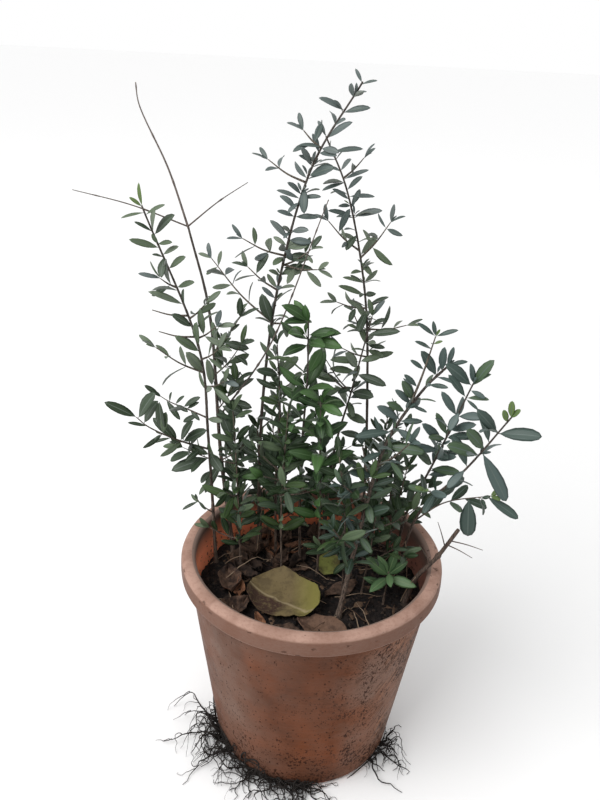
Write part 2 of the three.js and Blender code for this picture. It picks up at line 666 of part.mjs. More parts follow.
// Course of a twig that leaves a stem at a height
function branchCourse(parent, height, points) {
  const start = parent.curve.getPointAt(shareAtHeight(parent.curve, height));
  return points.length > 1
    ? new THREE.CatmullRomCurve3([start, ...points.map(vector)])
    : twigCurve(start, vector(points[0]));
}

// Leafy mass that leaves the side of a stem
function planBranch(shoot) {
  const parent = stems[shoot.parent];
  const curve = branchCourse(parent, shoot.height, shoot.course);
  return planMass(shoot, curve, twigLimb(curve, shoot.dia), FIRST_LEAF, parent.grown);
}

// Low leafy shoot that stands on the soil by its own short stem
function planLowShoot(shoot) {
  const curve = rootedCourse(shoot.course);
  const radiusAt = taper(shoot.dia, curve.getLength(), true);
  const axis = limb(curve, (share) => twigRadius(radiusAt(share)), TWIG_SIDES, TWIG_STATION, true);
  return planMass(shoot, curve, axis, shoot.firstLeaf);
}

// Bare twigs at the top of the leader: its tip and two side twigs
function makeLeaderCrown() {
  const { course, dia, twigs } = LEADER_CROWN;
  const whole = new THREE.CatmullRomCurve3(course.map(vector));
  const curve = new Stretch(whole, GAP / whole.getLength(), 1);
  const parts = [twigLimb(curve, dia)];
  for (const [height, tip] of twigs) {
    const root = curve.getPointAt(shareAtHeight(curve, height));
    const twig = twigCurve(root, vector(tip), BARE_TWIG_SWEEP);
    parts.push(twigLimb(twig, SIDE_TWIG_BASE + SIDE_TWIG_SHARE * dia));
  }
  addMesh("mass_leader_crown", largest(wasm.Manifold.union(parts)), "deadwood");
}

// Dead twig that crosses the clump from the leader
function makeDeadTwig() {
  const curve = branchCourse(stems.leader, DEAD_TWIG.height, DEAD_TWIG.course);
  addMesh("twig_dead", largest(twigLimb(curve, DEAD_TWIG.dia).subtract(stems.leader.grown)), "deadwood");
}

// Cut stub that leans over the rim, with its fine dead twigs
function makeStub() {
  const curve = rootedCourse(STUB.course);
  const radiusAt = taper(STUB.dia, curve.getLength(), true);
  const radius = (share) => radiusAt(share * STUB.cutShare);
  const parts = [limb(curve, radius, STEM_SIDES, STUB.station, true)];
  for (const [height, tip] of STUB.twigs) {
    const root = curve.getPointAt(shareAtHeight(curve, height));
    parts.push(twigLimb(twigCurve(root, vector(tip), BARE_TWIG_SWEEP), STUB.twigDia));
  }
  addMesh("stem_stub", largest(wasm.Manifold.union(parts)), "deadwood");
}

// Fallen leaf or chip: a thin plate of leaf outline that lies on the soil
function makeLitter({ name, at, size, turn, finish }) {
  const [length, width, thickness] = size;
  const outline = new THREE.Shape();
  outline.moveTo(-length / 2, 0);
  const bulge = LITTER_BELLY.wide * width;
  outline.quadraticCurveTo(LITTER_BELLY.lower * length, -bulge, length / 2, 0);
  outline.quadraticCurveTo(LITTER_BELLY.upper * length, bulge, -length / 2, 0);
  const options = { depth: thickness, bevelEnabled: false, curveSegments: LITTER_STEPS };
  const plate = new THREE.ExtrudeGeometry(outline, options);
  plate.rotateZ(radians(turn)).translate(at[0], at[1], SOIL_TOP + GAP);
  addMesh(name, solidOf(plate), finish);
}

// Tuft of wiry roots that creeps out of a drain notch along the ground
function makeRoots({ name, angle, reach, spread, count, seed }) {
  const draw = seeded(seed);
  const at = (turn, radius, z) => {
    const around = radians(turn);
    return new THREE.Vector3(radius * Math.cos(around), radius * Math.sin(around), z);
  };
  const thick = ROOT.dia / 2 + GAP;
  const middleHeight = ROOT.knot / 2 + GAP;
  const knotStart = at(angle, BASE_RADIUS - DRAIN.depth + GAP, middleHeight);
  const knotEnd = at(angle, BASE_RADIUS + ROOT.knot, middleHeight);
  const knot = new THREE.LineCurve3(knotStart, knotEnd);
  const parts = [limb(knot, () => ROOT.knot / 2, STEM_SIDES, DRAIN.depth)];
  for (let i = 0; i < count; i += 1) {
    const turn = angle + spread * ((2 * i) / (count - 1) - 1);
    const far = BASE_RADIUS + reach * (ROOT.shortest + (1 - ROOT.shortest) * draw());
    const start = at(angle, BASE_RADIUS, middleHeight);
    const middle = at(turn, (BASE_RADIUS + 2 * far) / 3, thick + ROOT.lift * draw());
    const end = at(turn + spread * (draw() - 0.5), far, thick);
    const curve = new THREE.QuadraticBezierCurve3(start, middle, end);
    parts.push(limb(curve, () => ROOT.dia / 2, TWIG_SIDES, curve.getLength() / ROOT.stations));
  }
  addMesh(name, largest(wasm.Manifold.union(parts)), "root");
}

makePot();
makeSoil();
makeStem("leader", LEADER, "bark");
const crowned = SHOOTS.filter((shoot) => shoot.bare);
crowned.forEach((shoot) => makeStem(shoot.name, shoot, "bark"));
makeStub();
makeLeaderCrown();
makeDeadTwig();
const plans = crowned.map(planCrown);
const branched = SHOOTS.filter((shoot) => shoot.parent);
plans.push(...branched.map((shoot) => planBranch({ ...SPRIG, ...shoot })));
const low = SHOOTS.filter((shoot) => !shoot.bare && !shoot.parent);
plans.push(...low.map((shoot) => planLowShoot({ ...LOW_SHOOT, ...shoot })));
plans.forEach(growMass);
LITTER.forEach(makeLitter);
ROOT_TUFTS.forEach(makeRoots);

export default group;
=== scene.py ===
# Olive seedling in a pot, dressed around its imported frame. Metres, +Z up, front towards -Y.
import json
import math

import bpy
import numpy as np
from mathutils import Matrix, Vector, noise

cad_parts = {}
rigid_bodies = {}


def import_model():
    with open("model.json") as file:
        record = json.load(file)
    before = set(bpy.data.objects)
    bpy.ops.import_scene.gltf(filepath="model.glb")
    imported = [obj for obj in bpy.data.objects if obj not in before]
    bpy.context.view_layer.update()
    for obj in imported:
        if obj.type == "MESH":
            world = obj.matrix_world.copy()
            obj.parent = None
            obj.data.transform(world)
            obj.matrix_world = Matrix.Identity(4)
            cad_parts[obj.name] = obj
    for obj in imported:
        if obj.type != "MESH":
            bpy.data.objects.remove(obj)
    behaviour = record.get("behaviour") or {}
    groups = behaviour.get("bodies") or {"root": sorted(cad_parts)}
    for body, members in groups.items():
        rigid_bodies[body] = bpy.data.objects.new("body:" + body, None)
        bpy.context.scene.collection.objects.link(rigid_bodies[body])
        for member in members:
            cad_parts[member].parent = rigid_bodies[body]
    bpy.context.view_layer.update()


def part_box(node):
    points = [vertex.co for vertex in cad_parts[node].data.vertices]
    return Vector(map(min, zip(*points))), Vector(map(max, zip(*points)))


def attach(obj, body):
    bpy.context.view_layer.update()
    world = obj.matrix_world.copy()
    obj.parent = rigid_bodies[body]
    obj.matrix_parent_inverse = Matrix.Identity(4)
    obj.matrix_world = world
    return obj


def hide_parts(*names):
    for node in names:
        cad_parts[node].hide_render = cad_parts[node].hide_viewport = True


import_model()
bpy.ops.object.select_all(action="DESELECT")

# Studio: a pale floor in soft daylight, with a broad lamp above on the left. The camera stands where
# the photograph was taken from: above the rim, slightly rolled, looking down at the clump.
CAMERA_AIM = Vector((-0.021, 0, 0.423))
CAMERA_DISTANCE = 0.785
CAMERA_DIP = math.radians(25.8)
CAMERA_ROLL = math.radians(2.9)
CAMERA_LENS = 36
FLOOR_SIZE = 30
FLOOR_NEAR = (0.74, 0.74, 0.74, 1)
FLOOR_FAR = (0.97, 0.97, 0.97, 1)
FLOOR_FADE = (0.6, 2.6)
SKY_STRENGTH = 1.0
LAMP_PLACE = Vector((-1.1, -0.9, 1.9))
LAMP_SIZE = 1.6
LAMP_POWER = 48


def feed(node, socket, value):
    """Gives an input of a node a value, or a socket to link from."""
    if isinstance(value, bpy.types.NodeSocket):
        node.id_data.links.new(value, node.inputs[socket])
    else:
        node.inputs[socket].default_value = value


def add_node(tree, kind, inputs=None, **settings):
    """Node of a kind, with its settings and inputs."""
    node = tree.nodes.new(kind)
    for name, value in settings.items():
        setattr(node, name, value)
    for socket, value in (inputs or {}).items():
        feed(node, socket, value)
    return node


def new_finish(name, tint, roughness, gloss=0.5):
    """Material with one plain shader; with it come the shader and the place on the surface."""
    finish = bpy.data.materials.new(name)
    finish.use_nodes = True
    shader = finish.node_tree.nodes["Principled BSDF"]
    feed(shader, "Base Color", (*tint[:3], 1))
    feed(shader, "Roughness", roughness)
    feed(shader, "Specular IOR Level", gloss)
    place = add_node(finish.node_tree, "ShaderNodeTexCoord").outputs["Object"]
    return finish, shader, place


def mix_colours(share, first, second):
    """Colour between two, by a share; each colour is a value or a socket."""
    inputs = {0: share, 6: first, 7: second}
    return add_node(share.id_data, "ShaderNodeMix", inputs, data_type="RGBA").outputs[2]


def between(value, low, high):
    """Share from 0 to 1 of a value between two limits."""
    limits = {"Value": value, "From Min": low, "From Max": high}
    return add_node(value.id_data, "ShaderNodeMapRange", limits).outputs["Result"]


away = Vector((0, -math.cos(CAMERA_DIP), math.sin(CAMERA_DIP)))
bpy.ops.object.camera_add(location=CAMERA_AIM + away * CAMERA_DISTANCE)
camera = bpy.context.object
camera.rotation_mode = "ZYX"
camera.rotation_euler = (math.pi / 2 - CAMERA_DIP, 0, CAMERA_ROLL)
camera.data.lens = CAMERA_LENS
bpy.context.scene.camera = camera
bpy.context.scene.view_settings.view_transform = "Standard"

world = bpy.data.worlds.new("daylight")
world.use_nodes = True
feed(world.node_tree.nodes["Background"], "Color", (1, 1, 1, 1))
feed(world.node_tree.nodes["Background"], "Strength", SKY_STRENGTH)
bpy.context.scene.world = world

lamp_turn = (CAMERA_AIM - LAMP_PLACE).to_track_quat("-Z", "Y").to_euler()
bpy.ops.object.light_add(type="AREA", location=LAMP_PLACE, rotation=lamp_turn)
lamp = bpy.context.object
lamp.data.size = LAMP_SIZE
lamp.data.energy = LAMP_POWER

bpy.ops.mesh.primitive_plane_add(size=FLOOR_SIZE)
floor = bpy.context.object
floor.name = "floor"
paint, shader, place = new_finish("floor_paint", FLOOR_NEAR, 0.9, gloss=0.2)
distance = add_node(place.id_data, "ShaderNodeVectorMath", {0: place}, operation="LENGTH").outputs["Value"]
feed(shader, "Base Color", mix_colours(between(distance, *FLOOR_FADE), FLOOR_NEAR, FLOOR_FAR))
floor.data.materials.append(paint)

# Pot: terracotta-coloured plastic, blown thin, with a rolled rim, a rounded foot and four drain notches.
# It is drawn out of a disc ring by ring, up the outside and down the inside, then rounded and cut.
pot_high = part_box("pot")[1]
POT_HEIGHT = pot_high.z
RIM_RADIUS = pot_high.x
RIM_HEIGHT = 0.022
RIM_ROUNDING = 0.009
ROLL_HEIGHT = 0.0052
ROLL_SEAT = 0.0007
RIM_STEP = 0.0008
RIM_INNER_RADIUS = 0.124
BAND_CREASE = 0.0008
BAND_EDGE = ((0.0024, 0.0002), (0.0004, 0.0008), (0, 0.0022))
ROLL_EDGE = ((0.0003, -0.0018), (0.0004, -0.0003), (RIM_STEP, 0.0004))
WALL_TOP_RADIUS = 0.131
WALL_TOP_GAP = 0.001
BASE_RADIUS = 0.100
WALL_THICKNESS = 0.004
FLOOR_THICKNESS = 0.006
FOOT_ROUNDING = 0.008
ARC_STEPS = 5
POT_SIDES = 72
WALL_RINGS = 14
POT_CREASE_ANGLE = 40
DRAIN = {"width": 0.024, "height": 0.008, "depth": 0.016, "angles": (215, 254, 326, 90)}
POT_WOBBLE = 0.0011
WOBBLE_SIZE = 0.09
CLAY_DARK = (0.058, 0.018, 0.008, 1)
CLAY_LIGHT = (0.096, 0.030, 0.012, 1)
CLAY_RUST = (0.148, 0.042, 0.015, 1)
CLAY_PALE = (0.235, 0.115, 0.074, 1)
# Grey film of the plastic, also laid thickly on the pot's left side as a painted sheen
CLAY_FILM_AND_SHEEN = (0.164, 0.110, 0.088, 1)
CLAY_DUST = (0.315, 0.200, 0.158, 1)
CLAY_BAND = (0.150, 0.085, 0.064, 1)
CLAY_SCRATCH = (0.300, 0.140, 0.080, 1)
# The inside tints are painted far brighter than the outside's clay. On top of the clean orange of the clay,
# this is a painted glow for daylight shining through the thin plastic. CLAY_INSIDE_LIT is more painted light
# on the left.
CLAY_INSIDE_AND_GLOW = (0.800, 0.215, 0.100, 1)
CLAY_INSIDE_DARK = (0.450, 0.125, 0.060, 1)
CLAY_INSIDE_LIT = (1.000, 0.310, 0.160, 1)
CLAY_INSIDE_DULL = (0.260, 0.110, 0.080, 1)
GRIME = (0.030, 0.012, 0.007, 1)
MOSS = (0.030, 0.015, 0.009, 1)
SCRATCH_SLANT = math.radians(28)
INWARD = 0.25
SKIN_DEPTH = 0.001


def wall_radius(height):
    """Radius of the pot's outer wall at a height."""
    return BASE_RADIUS + (WALL_TOP_RADIUS - BASE_RADIUS) * height / (POT_HEIGHT - RIM_HEIGHT)


def quarter(centre, radii, first, steps=ARC_STEPS):
    """Points of a quarter turn round a centre of radius and height, from an angle in degrees."""
    turns = np.radians(first + np.linspace(0, 90, steps))
    return [(centre[0] + radii[0] * math.cos(t), centre[1] + radii[1] * math.sin(t)) for t in turns]


def draw_out(outline, sides):
    """Closed turned solid: a disc drawn out ring by ring along an outline of radius and height."""
    bpy.ops.object.select_all(action="DESELECT")
    radius, height = outline[0]
    bpy.ops.mesh.primitive_circle_add(vertices=sides, radius=radius, fill_type="NGON")
    piece = bpy.context.object
    bpy.ops.object.mode_set(mode="EDIT")
    bpy.ops.mesh.select_all(action="SELECT")
    bpy.ops.transform.translate(value=(0, 0, height))
    for next_radius, next_height in outline[1:]:
        lift = (0, 0, next_height - height)
        bpy.ops.mesh.extrude_region_move(TRANSFORM_OT_translate={"value": lift})
        share = next_radius / radius
        bpy.ops.transform.resize(value=(share, share, 1), center_override=(0, 0, next_height))
        radius, height = next_radius, next_height
    bpy.ops.mesh.select_all(action="SELECT")
    bpy.ops.mesh.normals_make_consistent(inside=False)
    bpy.ops.object.mode_set(mode="OBJECT")
    return piece


def apply_modifier(piece, kind, **settings):
    """Adds a modifier to a piece and applies it."""
    bpy.context.view_layer.objects.active = piece
    modifier = piece.modifiers.new(kind.lower(), kind)
    for name, value in settings.items():
        setattr(modifier, name, value)
    bpy.ops.object.modifier_apply(modifier=modifier.name)


def shade_smooth(piece, angle):
    """Smooths a piece's faces, up to an angle in degrees between them."""
    bpy.context.view_layer.objects.active = piece
    piece.select_set(True)
    bpy.ops.object.shade_smooth_by_angle(angle=math.radians(angle))


band_foot = POT_HEIGHT - RIM_HEIGHT
rim_low = POT_HEIGHT - ROLL_HEIGHT
lip_radius = RIM_RADIUS - RIM_ROUNDING
foot_centre = (wall_radius(FOOT_ROUNDING) - FOOT_ROUNDING, FOOT_ROUNDING)
outer_heights = np.linspace(FOOT_ROUNDING, band_foot - WALL_TOP_GAP, WALL_RINGS)[1:]
inner_heights = np.linspace(band_foot, FLOOR_THICKNESS, WALL_RINGS)
outline = quarter(foot_centre, (FOOT_ROUNDING, FOOT_ROUNDING), -90)
outline += [(wall_radius(z), z) for z in outer_heights]
outline.append((wall_radius(band_foot) + BAND_CREASE, band_foot))
outline += [(RIM_RADIUS - inset, band_foot + rise) for inset, rise in BAND_EDGE]
outline += [(RIM_RADIUS - inset, rim_low + rise) for inset, rise in ROLL_EDGE]
outer_roll = (RIM_ROUNDING - RIM_STEP, ROLL_HEIGHT - ROLL_SEAT)
outline += quarter((lip_radius, rim_low + ROLL_SEAT), outer_roll, 0, ARC_STEPS + 1)
outline += quarter((lip_radius, rim_low), (lip_radius - RIM_INNER_RADIUS, ROLL_HEIGHT), 90)[1:]
outline += [(wall_radius(z) - WALL_THICKNESS, z) for z in inner_heights]
pot = draw_out(outline, POT_SIDES)
pot.name = "pot_shell"
apply_modifier(pot, "SUBSURF", levels=1, render_levels=1)
wobble = bpy.data.textures.new("wobble", "CLOUDS")
wobble.noise_scale = WOBBLE_SIZE
apply_modifier(pot, "DISPLACE", texture=wobble, strength=POT_WOBBLE, mid_level=0.5, direction="NORMAL")
for vertex in pot.data.vertices:
    vertex.co.z = 0 if vertex.co.z < POT_WOBBLE else vertex.co.z
for angle in DRAIN["angles"]:
    around = math.radians(angle)
    seat = (BASE_RADIUS * math.cos(around), BASE_RADIUS * math.sin(around), 0)
    bpy.ops.mesh.primitive_cube_add(size=1, location=seat, rotation=(0, 0, around))
    cutter = bpy.context.object
    cutter.scale = (2 * DRAIN["depth"], DRAIN["width"], 2 * DRAIN["height"])
    apply_modifier(pot, "BOOLEAN", object=cutter, operation="DIFFERENCE", solver="EXACT")
    bpy.data.objects.remove(cutter)
shade_smooth(pot, POT_CREASE_ANGLE)


def product(first, second):
    """Product of a socket's value and another."""
    factors = {0: first, 1: second}
    return add_node(first.id_data, "ShaderNodeMath", factors, operation="MULTIPLY").outputs[0]


def sum_of(first, share, second):
    """Share of a socket's value, added to another value."""
    terms = {0: first, 1: share, 2: second}
    return add_node(first.id_data, "ShaderNodeMath", terms, operation="MULTIPLY_ADD").outputs[0]


def axes_of(place):
    """The three coordinates of a place."""
    return add_node(place.id_data, "ShaderNodeSeparateXYZ", {"Vector": place}).outputs


def shifted(place, shift=(0, 0, 0), turn=(0, 0, 0), scale=(1, 1, 1)):
    """Place moved, turned and scaled, so that a pattern falls elsewhere or is drawn out."""
    changes = {"Vector": place, "Location": shift, "Rotation": turn, "Scale": scale}
    return add_node(place.id_data, "ShaderNodeMapping", changes).outputs["Vector"]


def noise_of(place, scale, detail=4.0, rough=0.55):
    """Noise between 0 and 1 at a place."""
    inputs = {"Vector": place, "Scale": scale, "Detail": detail, "Roughness": rough}
    return add_node(place.id_data, "ShaderNodeTexNoise", inputs).outputs["Fac"]


def patches(place, scale, low, high, detail=4.0, rough=0.55):
    """Mask of patches: none where noise is at its low value, full where it is at its high one."""
    return between(noise_of(place, scale, detail, rough), low, high)


def coat(colour, tint, mask, share):
    """Colour with a tint laid over it, by a share of a mask."""
    return mix_colours(product(mask, share), colour, tint)


def bump_of(shader, height, strength, distance):
    """Relief of a height on a shader."""
    inputs = {"Height": height, "Strength": strength, "Distance": distance}
    feed(shader, "Normal", add_node(shader.id_data, "ShaderNodeBump", inputs).outputs["Normal"])


def speckle_group():
    """Shader group of dirt specks: uneven dots, in more of the cells as the amount rises."""
    group = bpy.data.node_groups.new("specks", "ShaderNodeTree")
    for name, kind in (("Place", "Vector"), ("Scale", "Float"), ("Amount", "Float")):
        group.interface.new_socket(name, in_out="INPUT", socket_type="NodeSocket" + kind)
    group.interface.new_socket("Mask", in_out="OUTPUT", socket_type="NodeSocketFloat")
    given = add_node(group, "NodeGroupInput").outputs
    cells = add_node(group, "ShaderNodeVectorMath", {0: given["Place"], "Scale": given["Scale"]},
                     operation="SCALE").outputs[0]
    waver = add_node(group, "ShaderNodeTexNoise", {"Vector": cells, "Scale": 2.4, "Detail": 2.0})
    uneven = add_node(group, "ShaderNodeVectorMath",
                      {0: waver.outputs["Color"], 1: (1.3, 1.3, 1.3), 2: cells},
                      operation="MULTIPLY_ADD").outputs[0]
    dots = add_node(group, "ShaderNodeTexVoronoi", {"Vector": uneven, "Scale": 1.0}).outputs
    lots = add_node(group, "ShaderNodeSeparateColor", {"Color": dots["Color"]}).outputs
    dirty = add_node(group, "ShaderNodeMath", {0: given["Amount"], 1: lots["Red"]}, operation="GREATER_THAN")
    radius = sum_of(lots["Green"], 0.36, 0.16)
    dot = between(dots["Distance"], radius, product(radius, 0.65))
    feed(add_node(group, "NodeGroupOutput"), "Mask", product(dot, dirty.outputs[0]))
    return group


def specks_of(place, scale, amount):
    """Mask of specks on a surface."""
    inputs = {"Place": place, "Scale": scale, "Amount": amount}
    return add_node(place.id_data, "ShaderNodeGroup", inputs, node_tree=specks).outputs["Mask"]


specks = speckle_group()
outside, shader, place = new_finish("pot_outside", CLAY_LIGHT, 0.5, gloss=0.03)
x, y, z = axes_of(place)

# Clay: dark and rusty blotches, paler to the right, under a grey film to the left that is partly painted
# sheen
blotch = patches(shifted(place, (0.2, 0.1, 0), scale=(1, 1, 0.45)), 15.0, 0.32, 0.68)
colour = mix_colours(blotch, CLAY_DARK, CLAY_LIGHT)
colour = coat(colour, CLAY_RUST, patches(shifted(place, (1.3, 0.4, 0.7)), 18.0, 0.44, 0.70), 0.75)
colour = coat(colour, CLAY_PALE, between(x, 0.03, 0.09), 0.75)
# Painted sheen: the grey film is laid most thickly over the left, where the light comes from. It is partly a
# film on the plastic and partly a painted sheen of that light.
left_film_and_sheen = patches(shifted(place, (0.6, 2.1, 0.9)), 9.0, 0.30, 0.66)
colour = coat(colour, CLAY_FILM_AND_SHEEN, left_film_and_sheen, sum_of(between(x, 0.02, -0.09), 0.92, 0.02))
haze = product(patches(shifted(place, (2.2, 0.5, 1.4)), 14.0, 0.36, 0.58), between(x, 0.0, 0.06))
colour = coat(colour, CLAY_FILM_AND_SHEEN, haze, 0.6)
drawn = patches(shifted(place, (0.3, 0.8, 0.1), scale=(14, 14, 460)), 1.0, 0.48, 0.68, detail=3.0)
colour = coat(colour, CLAY_FILM_AND_SHEEN, drawn, 0.07)

# Dirt: mossy patches to the right, and specks in clusters that thicken there and towards the foot
dirty = product(between(x, -0.03, 0.10), patches(shifted(place, (0.0, 0.3, 0.1)), 15.0, 0.36, 0.54))
moss = patches(shifted(place, scale=(1, 1, 1.6)), 210.0, 0.48, 0.60, detail=5.0, rough=0.75)
colour = coat(colour, MOSS, product(dirty, moss), 0.8)
downward = between(z, 0.19, 0.0)
amount = sum_of(dirty, 1.05, sum_of(product(downward, downward), 0.90, 0.10))
cluster = patches(shifted(place, (1.1, 0.7, 0.2)), 42.0, 0.36, 0.62, rough=0.6)
amount = between(product(amount, sum_of(cluster, 1.3, 0.15)), 0.0, 1.2)
grit = noise_of(shifted(place, (0.4, 0.9, 0.2), scale=(1, 1, 0.75)), 310.0, 3.0, 0.65)
large_specks = between(sum_of(amount, 0.15, grit), 0.665, 0.685)
small_specks = specks_of(shifted(place, (0.7, 0.2, 0.5)), 430.0, product(amount, 0.8))
for speckle in (small_specks, large_specks):
    colour = coat(colour, GRIME, speckle, 0.95)

# Scuffs: slanted scratches and grooves where the right side was rubbed
rubbed = product(between(x, 0.060, 0.080), between(y, 0.020, -0.020))
rubbed = product(rubbed, patches(shifted(place, (2, 1, 3)), 46.0, 0.44, 0.60))
slanted = shifted(shifted(place, turn=(SCRATCH_SLANT, 0, 0)), scale=(20, 260, 9))
scratch = product(patches(slanted, 1.0, 0.56, 0.62, detail=3.0), rubbed)
colour = coat(colour, CLAY_SCRATCH, scratch, 0.4)
groove = product(patches(shifted(slanted, (4.0, 7.0, 2.0)), 1.0, 0.52, 0.58, detail=3.0), rubbed)
colour = coat(colour, MOSS, groove, 0.6)

# Rim: a dusty lip over a duller band, worn in places, with a pale lower edge and a few nicks
worn = patches(place, 38.0, 0.42, 0.60, detail=5.0)
lip = coat(CLAY_DUST, CLAY_BAND, worn, 0.22)
band = mix_colours(worn, CLAY_BAND, CLAY_LIGHT)
on_lip = between(z, rim_low - 0.0006, rim_low + 0.0010)
rim = coat(mix_colours(on_lip, CLAY_BAND, lip), band, worn, 0.15)
rim = coat(rim, CLAY_DUST, between(z, band_foot + 0.0022, band_foot + 0.0012), 0.7)
fine = shifted(place, (0.5, 0.1, 0.3), scale=(1, 1, 2.5))
rim = coat(rim, CLAY_LIGHT, patches(fine, 230.0, 0.46, 0.64, detail=5.0, rough=0.7), 0.22)
nicks = specks_of(shifted(place, scale=(1, 1, 2.2)), 150.0, 0.06)
rim = coat(rim, GRIME, nicks, 0.6)
on_rim = between(z, band_foot - 0.0008, band_foot + 0.0006)
feed(shader, "Base Color", mix_colours(on_rim, colour, rim))
feed(shader, "Roughness", patches(place, 60.0, -0.45, 1.45))
height = sum_of(large_specks, 0.2, noise_of(place, 320.0))
height = sum_of(groove, -0.4, sum_of(nicks, -0.6, height))
bump_of(shader, height, 0.45, 0.0007)

# Inside: the clay's clean orange brightened by painted light, stained, painted lighter on the left, dull on
# the right and splashed with soil
inside, shader, place = new_finish("pot_inside", CLAY_INSIDE_AND_GLOW, 0.65, gloss=0.3)
x, _, z = axes_of(place)
colour = mix_colours(patches(place, 30.0, 0.38, 0.72), CLAY_INSIDE_AND_GLOW, CLAY_INSIDE_DARK)
# Painted light: the left of the inside is made brighter still.
colour = mix_colours(between(x, -0.070, -0.112), colour, CLAY_INSIDE_LIT)
colour = mix_colours(between(x, 0.045, 0.085), colour, CLAY_INSIDE_DULL)
colour = mix_colours(between(z, 0.212, 0.238), colour, CLAY_FILM_AND_SHEEN)
splash = specks_of(place, 240.0, sum_of(between(z, 0.225, 0.195), 0.7, 0.05))
feed(shader, "Base Color", coat(colour, GRIME, splash, 0.85))
bump_of(shader, noise_of(place, 240.0), 0.25, 0.0006)

pot.data.materials.clear()
pot.data.materials.append(outside)
pot.data.materials.append(inside)
for face in pot.data.polygons:
    centre, normal = face.center, face.normal
    radius = centre.xy.length
    inward = -(centre.x * normal.x + centre.y * normal.y) / radius
    in_hollow = centre.z > FLOOR_THICKNESS / 2 and radius < wall_radius(centre.z) - SKIN_DEPTH
    on_floor = centre.z < 2 * FLOOR_THICKNESS
    face.material_index = 1 if in_hollow and (inward > INWARD or on_floor) else 0
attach(pot, "root")
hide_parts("pot")

# Soil: black-brown potting soil, damp and lumpy, a little lower at the wall than in the middle.
# The top is a grid drawn round, raised by noise, and its edge is drawn down to the pot's floor.
soil_low, soil_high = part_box("soil")
SOIL_TOP = soil_high.z
SOIL_RADIUS = soil_high.x
SOIL_CELLS = 120
SOIL_LUMPS = ((28, 0.0042), (90, 0.0034), (230, 0.0020))
SOIL_EDGE_DROP = 0.004
SOIL_EDGE_SHARE = 0.1
SOIL_FOOT_GAP = 0.0005
SOIL_CREASE_ANGLE = 50
SOIL_DARK = (0.006, 0.005, 0.005, 1)
SOIL_BROWN = (0.026, 0.018, 0.015, 1)


def soil_height(x, y):
    """Height of the soil's lumpy top."""
    lumps = sum(size * noise.noise(Vector((x, y, 0.3)) * scale) for scale, size in SOIL_LUMPS)
    edge = max(0, math.hypot(x, y) / SOIL_RADIUS - (1 - SOIL_EDGE_SHARE)) / SOIL_EDGE_SHARE
    return SOIL_TOP + lumps - SOIL_EDGE_DROP * edge


bpy.ops.object.select_all(action="DESELECT")
bpy.ops.mesh.primitive_grid_add(x_subdivisions=SOIL_CELLS, y_subdivisions=SOIL_CELLS, size=2)
soil = bpy.context.object
soil.name = "soil_fill"
for vertex in soil.data.vertices:
    u, v, _ = vertex.co
    x = SOIL_RADIUS * u * math.sqrt(1 - v * v / 2)
    y = SOIL_RADIUS * v * math.sqrt(1 - u * u / 2)
    vertex.co = (x, y, soil_height(x, y))
bpy.ops.object.mode_set(mode="EDIT")
bpy.ops.mesh.select_all(action="SELECT")
bpy.ops.mesh.region_to_loop()
drop = soil_low.z - SOIL_TOP + 2 * SOIL_EDGE_DROP
bpy.ops.mesh.extrude_region_move(TRANSFORM_OT_translate={"value": (0, 0, drop)})
foot_share = (wall_radius(soil_low.z) - WALL_THICKNESS - SOIL_FOOT_GAP) / SOIL_RADIUS
bpy.ops.transform.resize(value=(foot_share, foot_share, 0), center_override=(0, 0, soil_low.z))
bpy.ops.mesh.edge_face_add()
bpy.ops.mesh.select_all(action="SELECT")
bpy.ops.mesh.normals_make_consistent(inside=False)
bpy.ops.object.mode_set(mode="OBJECT")
shade_smooth(soil, SOIL_CREASE_ANGLE)

earth, shader, place = new_finish("soil_earth", SOIL_DARK, 0.95, gloss=0.2)
damp = patches(place, 120.0, 0.42, 0.72, detail=6.0, rough=0.7)
feed(shader, "Base Color", mix_colours(damp, SOIL_DARK, SOIL_BROWN))
bump_of(shader, noise_of(place, 420.0, 6.0, 0.7), 0.9, 0.002)
soil.data.materials.append(earth)
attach(soil, "root")
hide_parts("soil")

# Crumbs: loose lumps of the soil and flat chips of bark, strewn over its top. Each is a small uneven
# eight-sided lump, turned and tilted by draws, and all of them are joined into one piece.
CRUMBS = 2200
CHIPS = 190
CRUMB_SIZE = (0.0008, 0.0030)
CRUMB_SHAPE = (1, 1, 0.8)
CHIP_SHAPE = (4.0, 1.4, 0.5)
CRUMB_MARGIN = 0.006
CRUMB_STRETCH = (0.5, 1.2)
CRUMB_UNEVEN = (0.7, 1.2)
CRUMB_TILT = 0.3
CRUMB_SEAT = 0.4
CRUMB_TINTS = {"crumb_black": (0.006, 0.005, 0.005), "crumb_dark": (0.015, 0.011, 0.010),
               "crumb_brown": (0.034, 0.023, 0.017), "chip_brown": (0.075, 0.044, 0.027),
               "chip_tan": (0.13, 0.080, 0.050)}
CRUMB_DEAL = (0, 3)
CHIP_DEAL = (2, 5)
LUMP = np.array([(1, 0, 0), (0, 1, 0), (-1, 0, 0), (0, -1, 0), (0, 0, 1), (0, 0, -1)], float)
LUMP_FACES = [(k, (k + 1) % 4, 4) for k in range(4)] + [((k + 1) % 4, k, 5) for k in range(4)]


def new_store():
    """Empty lists for the corners, faces and material numbers of many small pieces."""
    return {"corners": [], "faces": [], "materials": [], "count": 0}


def put(store, corners, faces, materials):
    """Adds one small piece to a store; materials is one number, or one for each face."""
    start = store["count"]
    store["corners"].append(np.asarray(corners, float))
    store["faces"] += [[start + corner for corner in face] for face in faces]
    store["materials"] += [materials] * len(faces) if isinstance(materials, int) else materials
    store["count"] += len(corners)


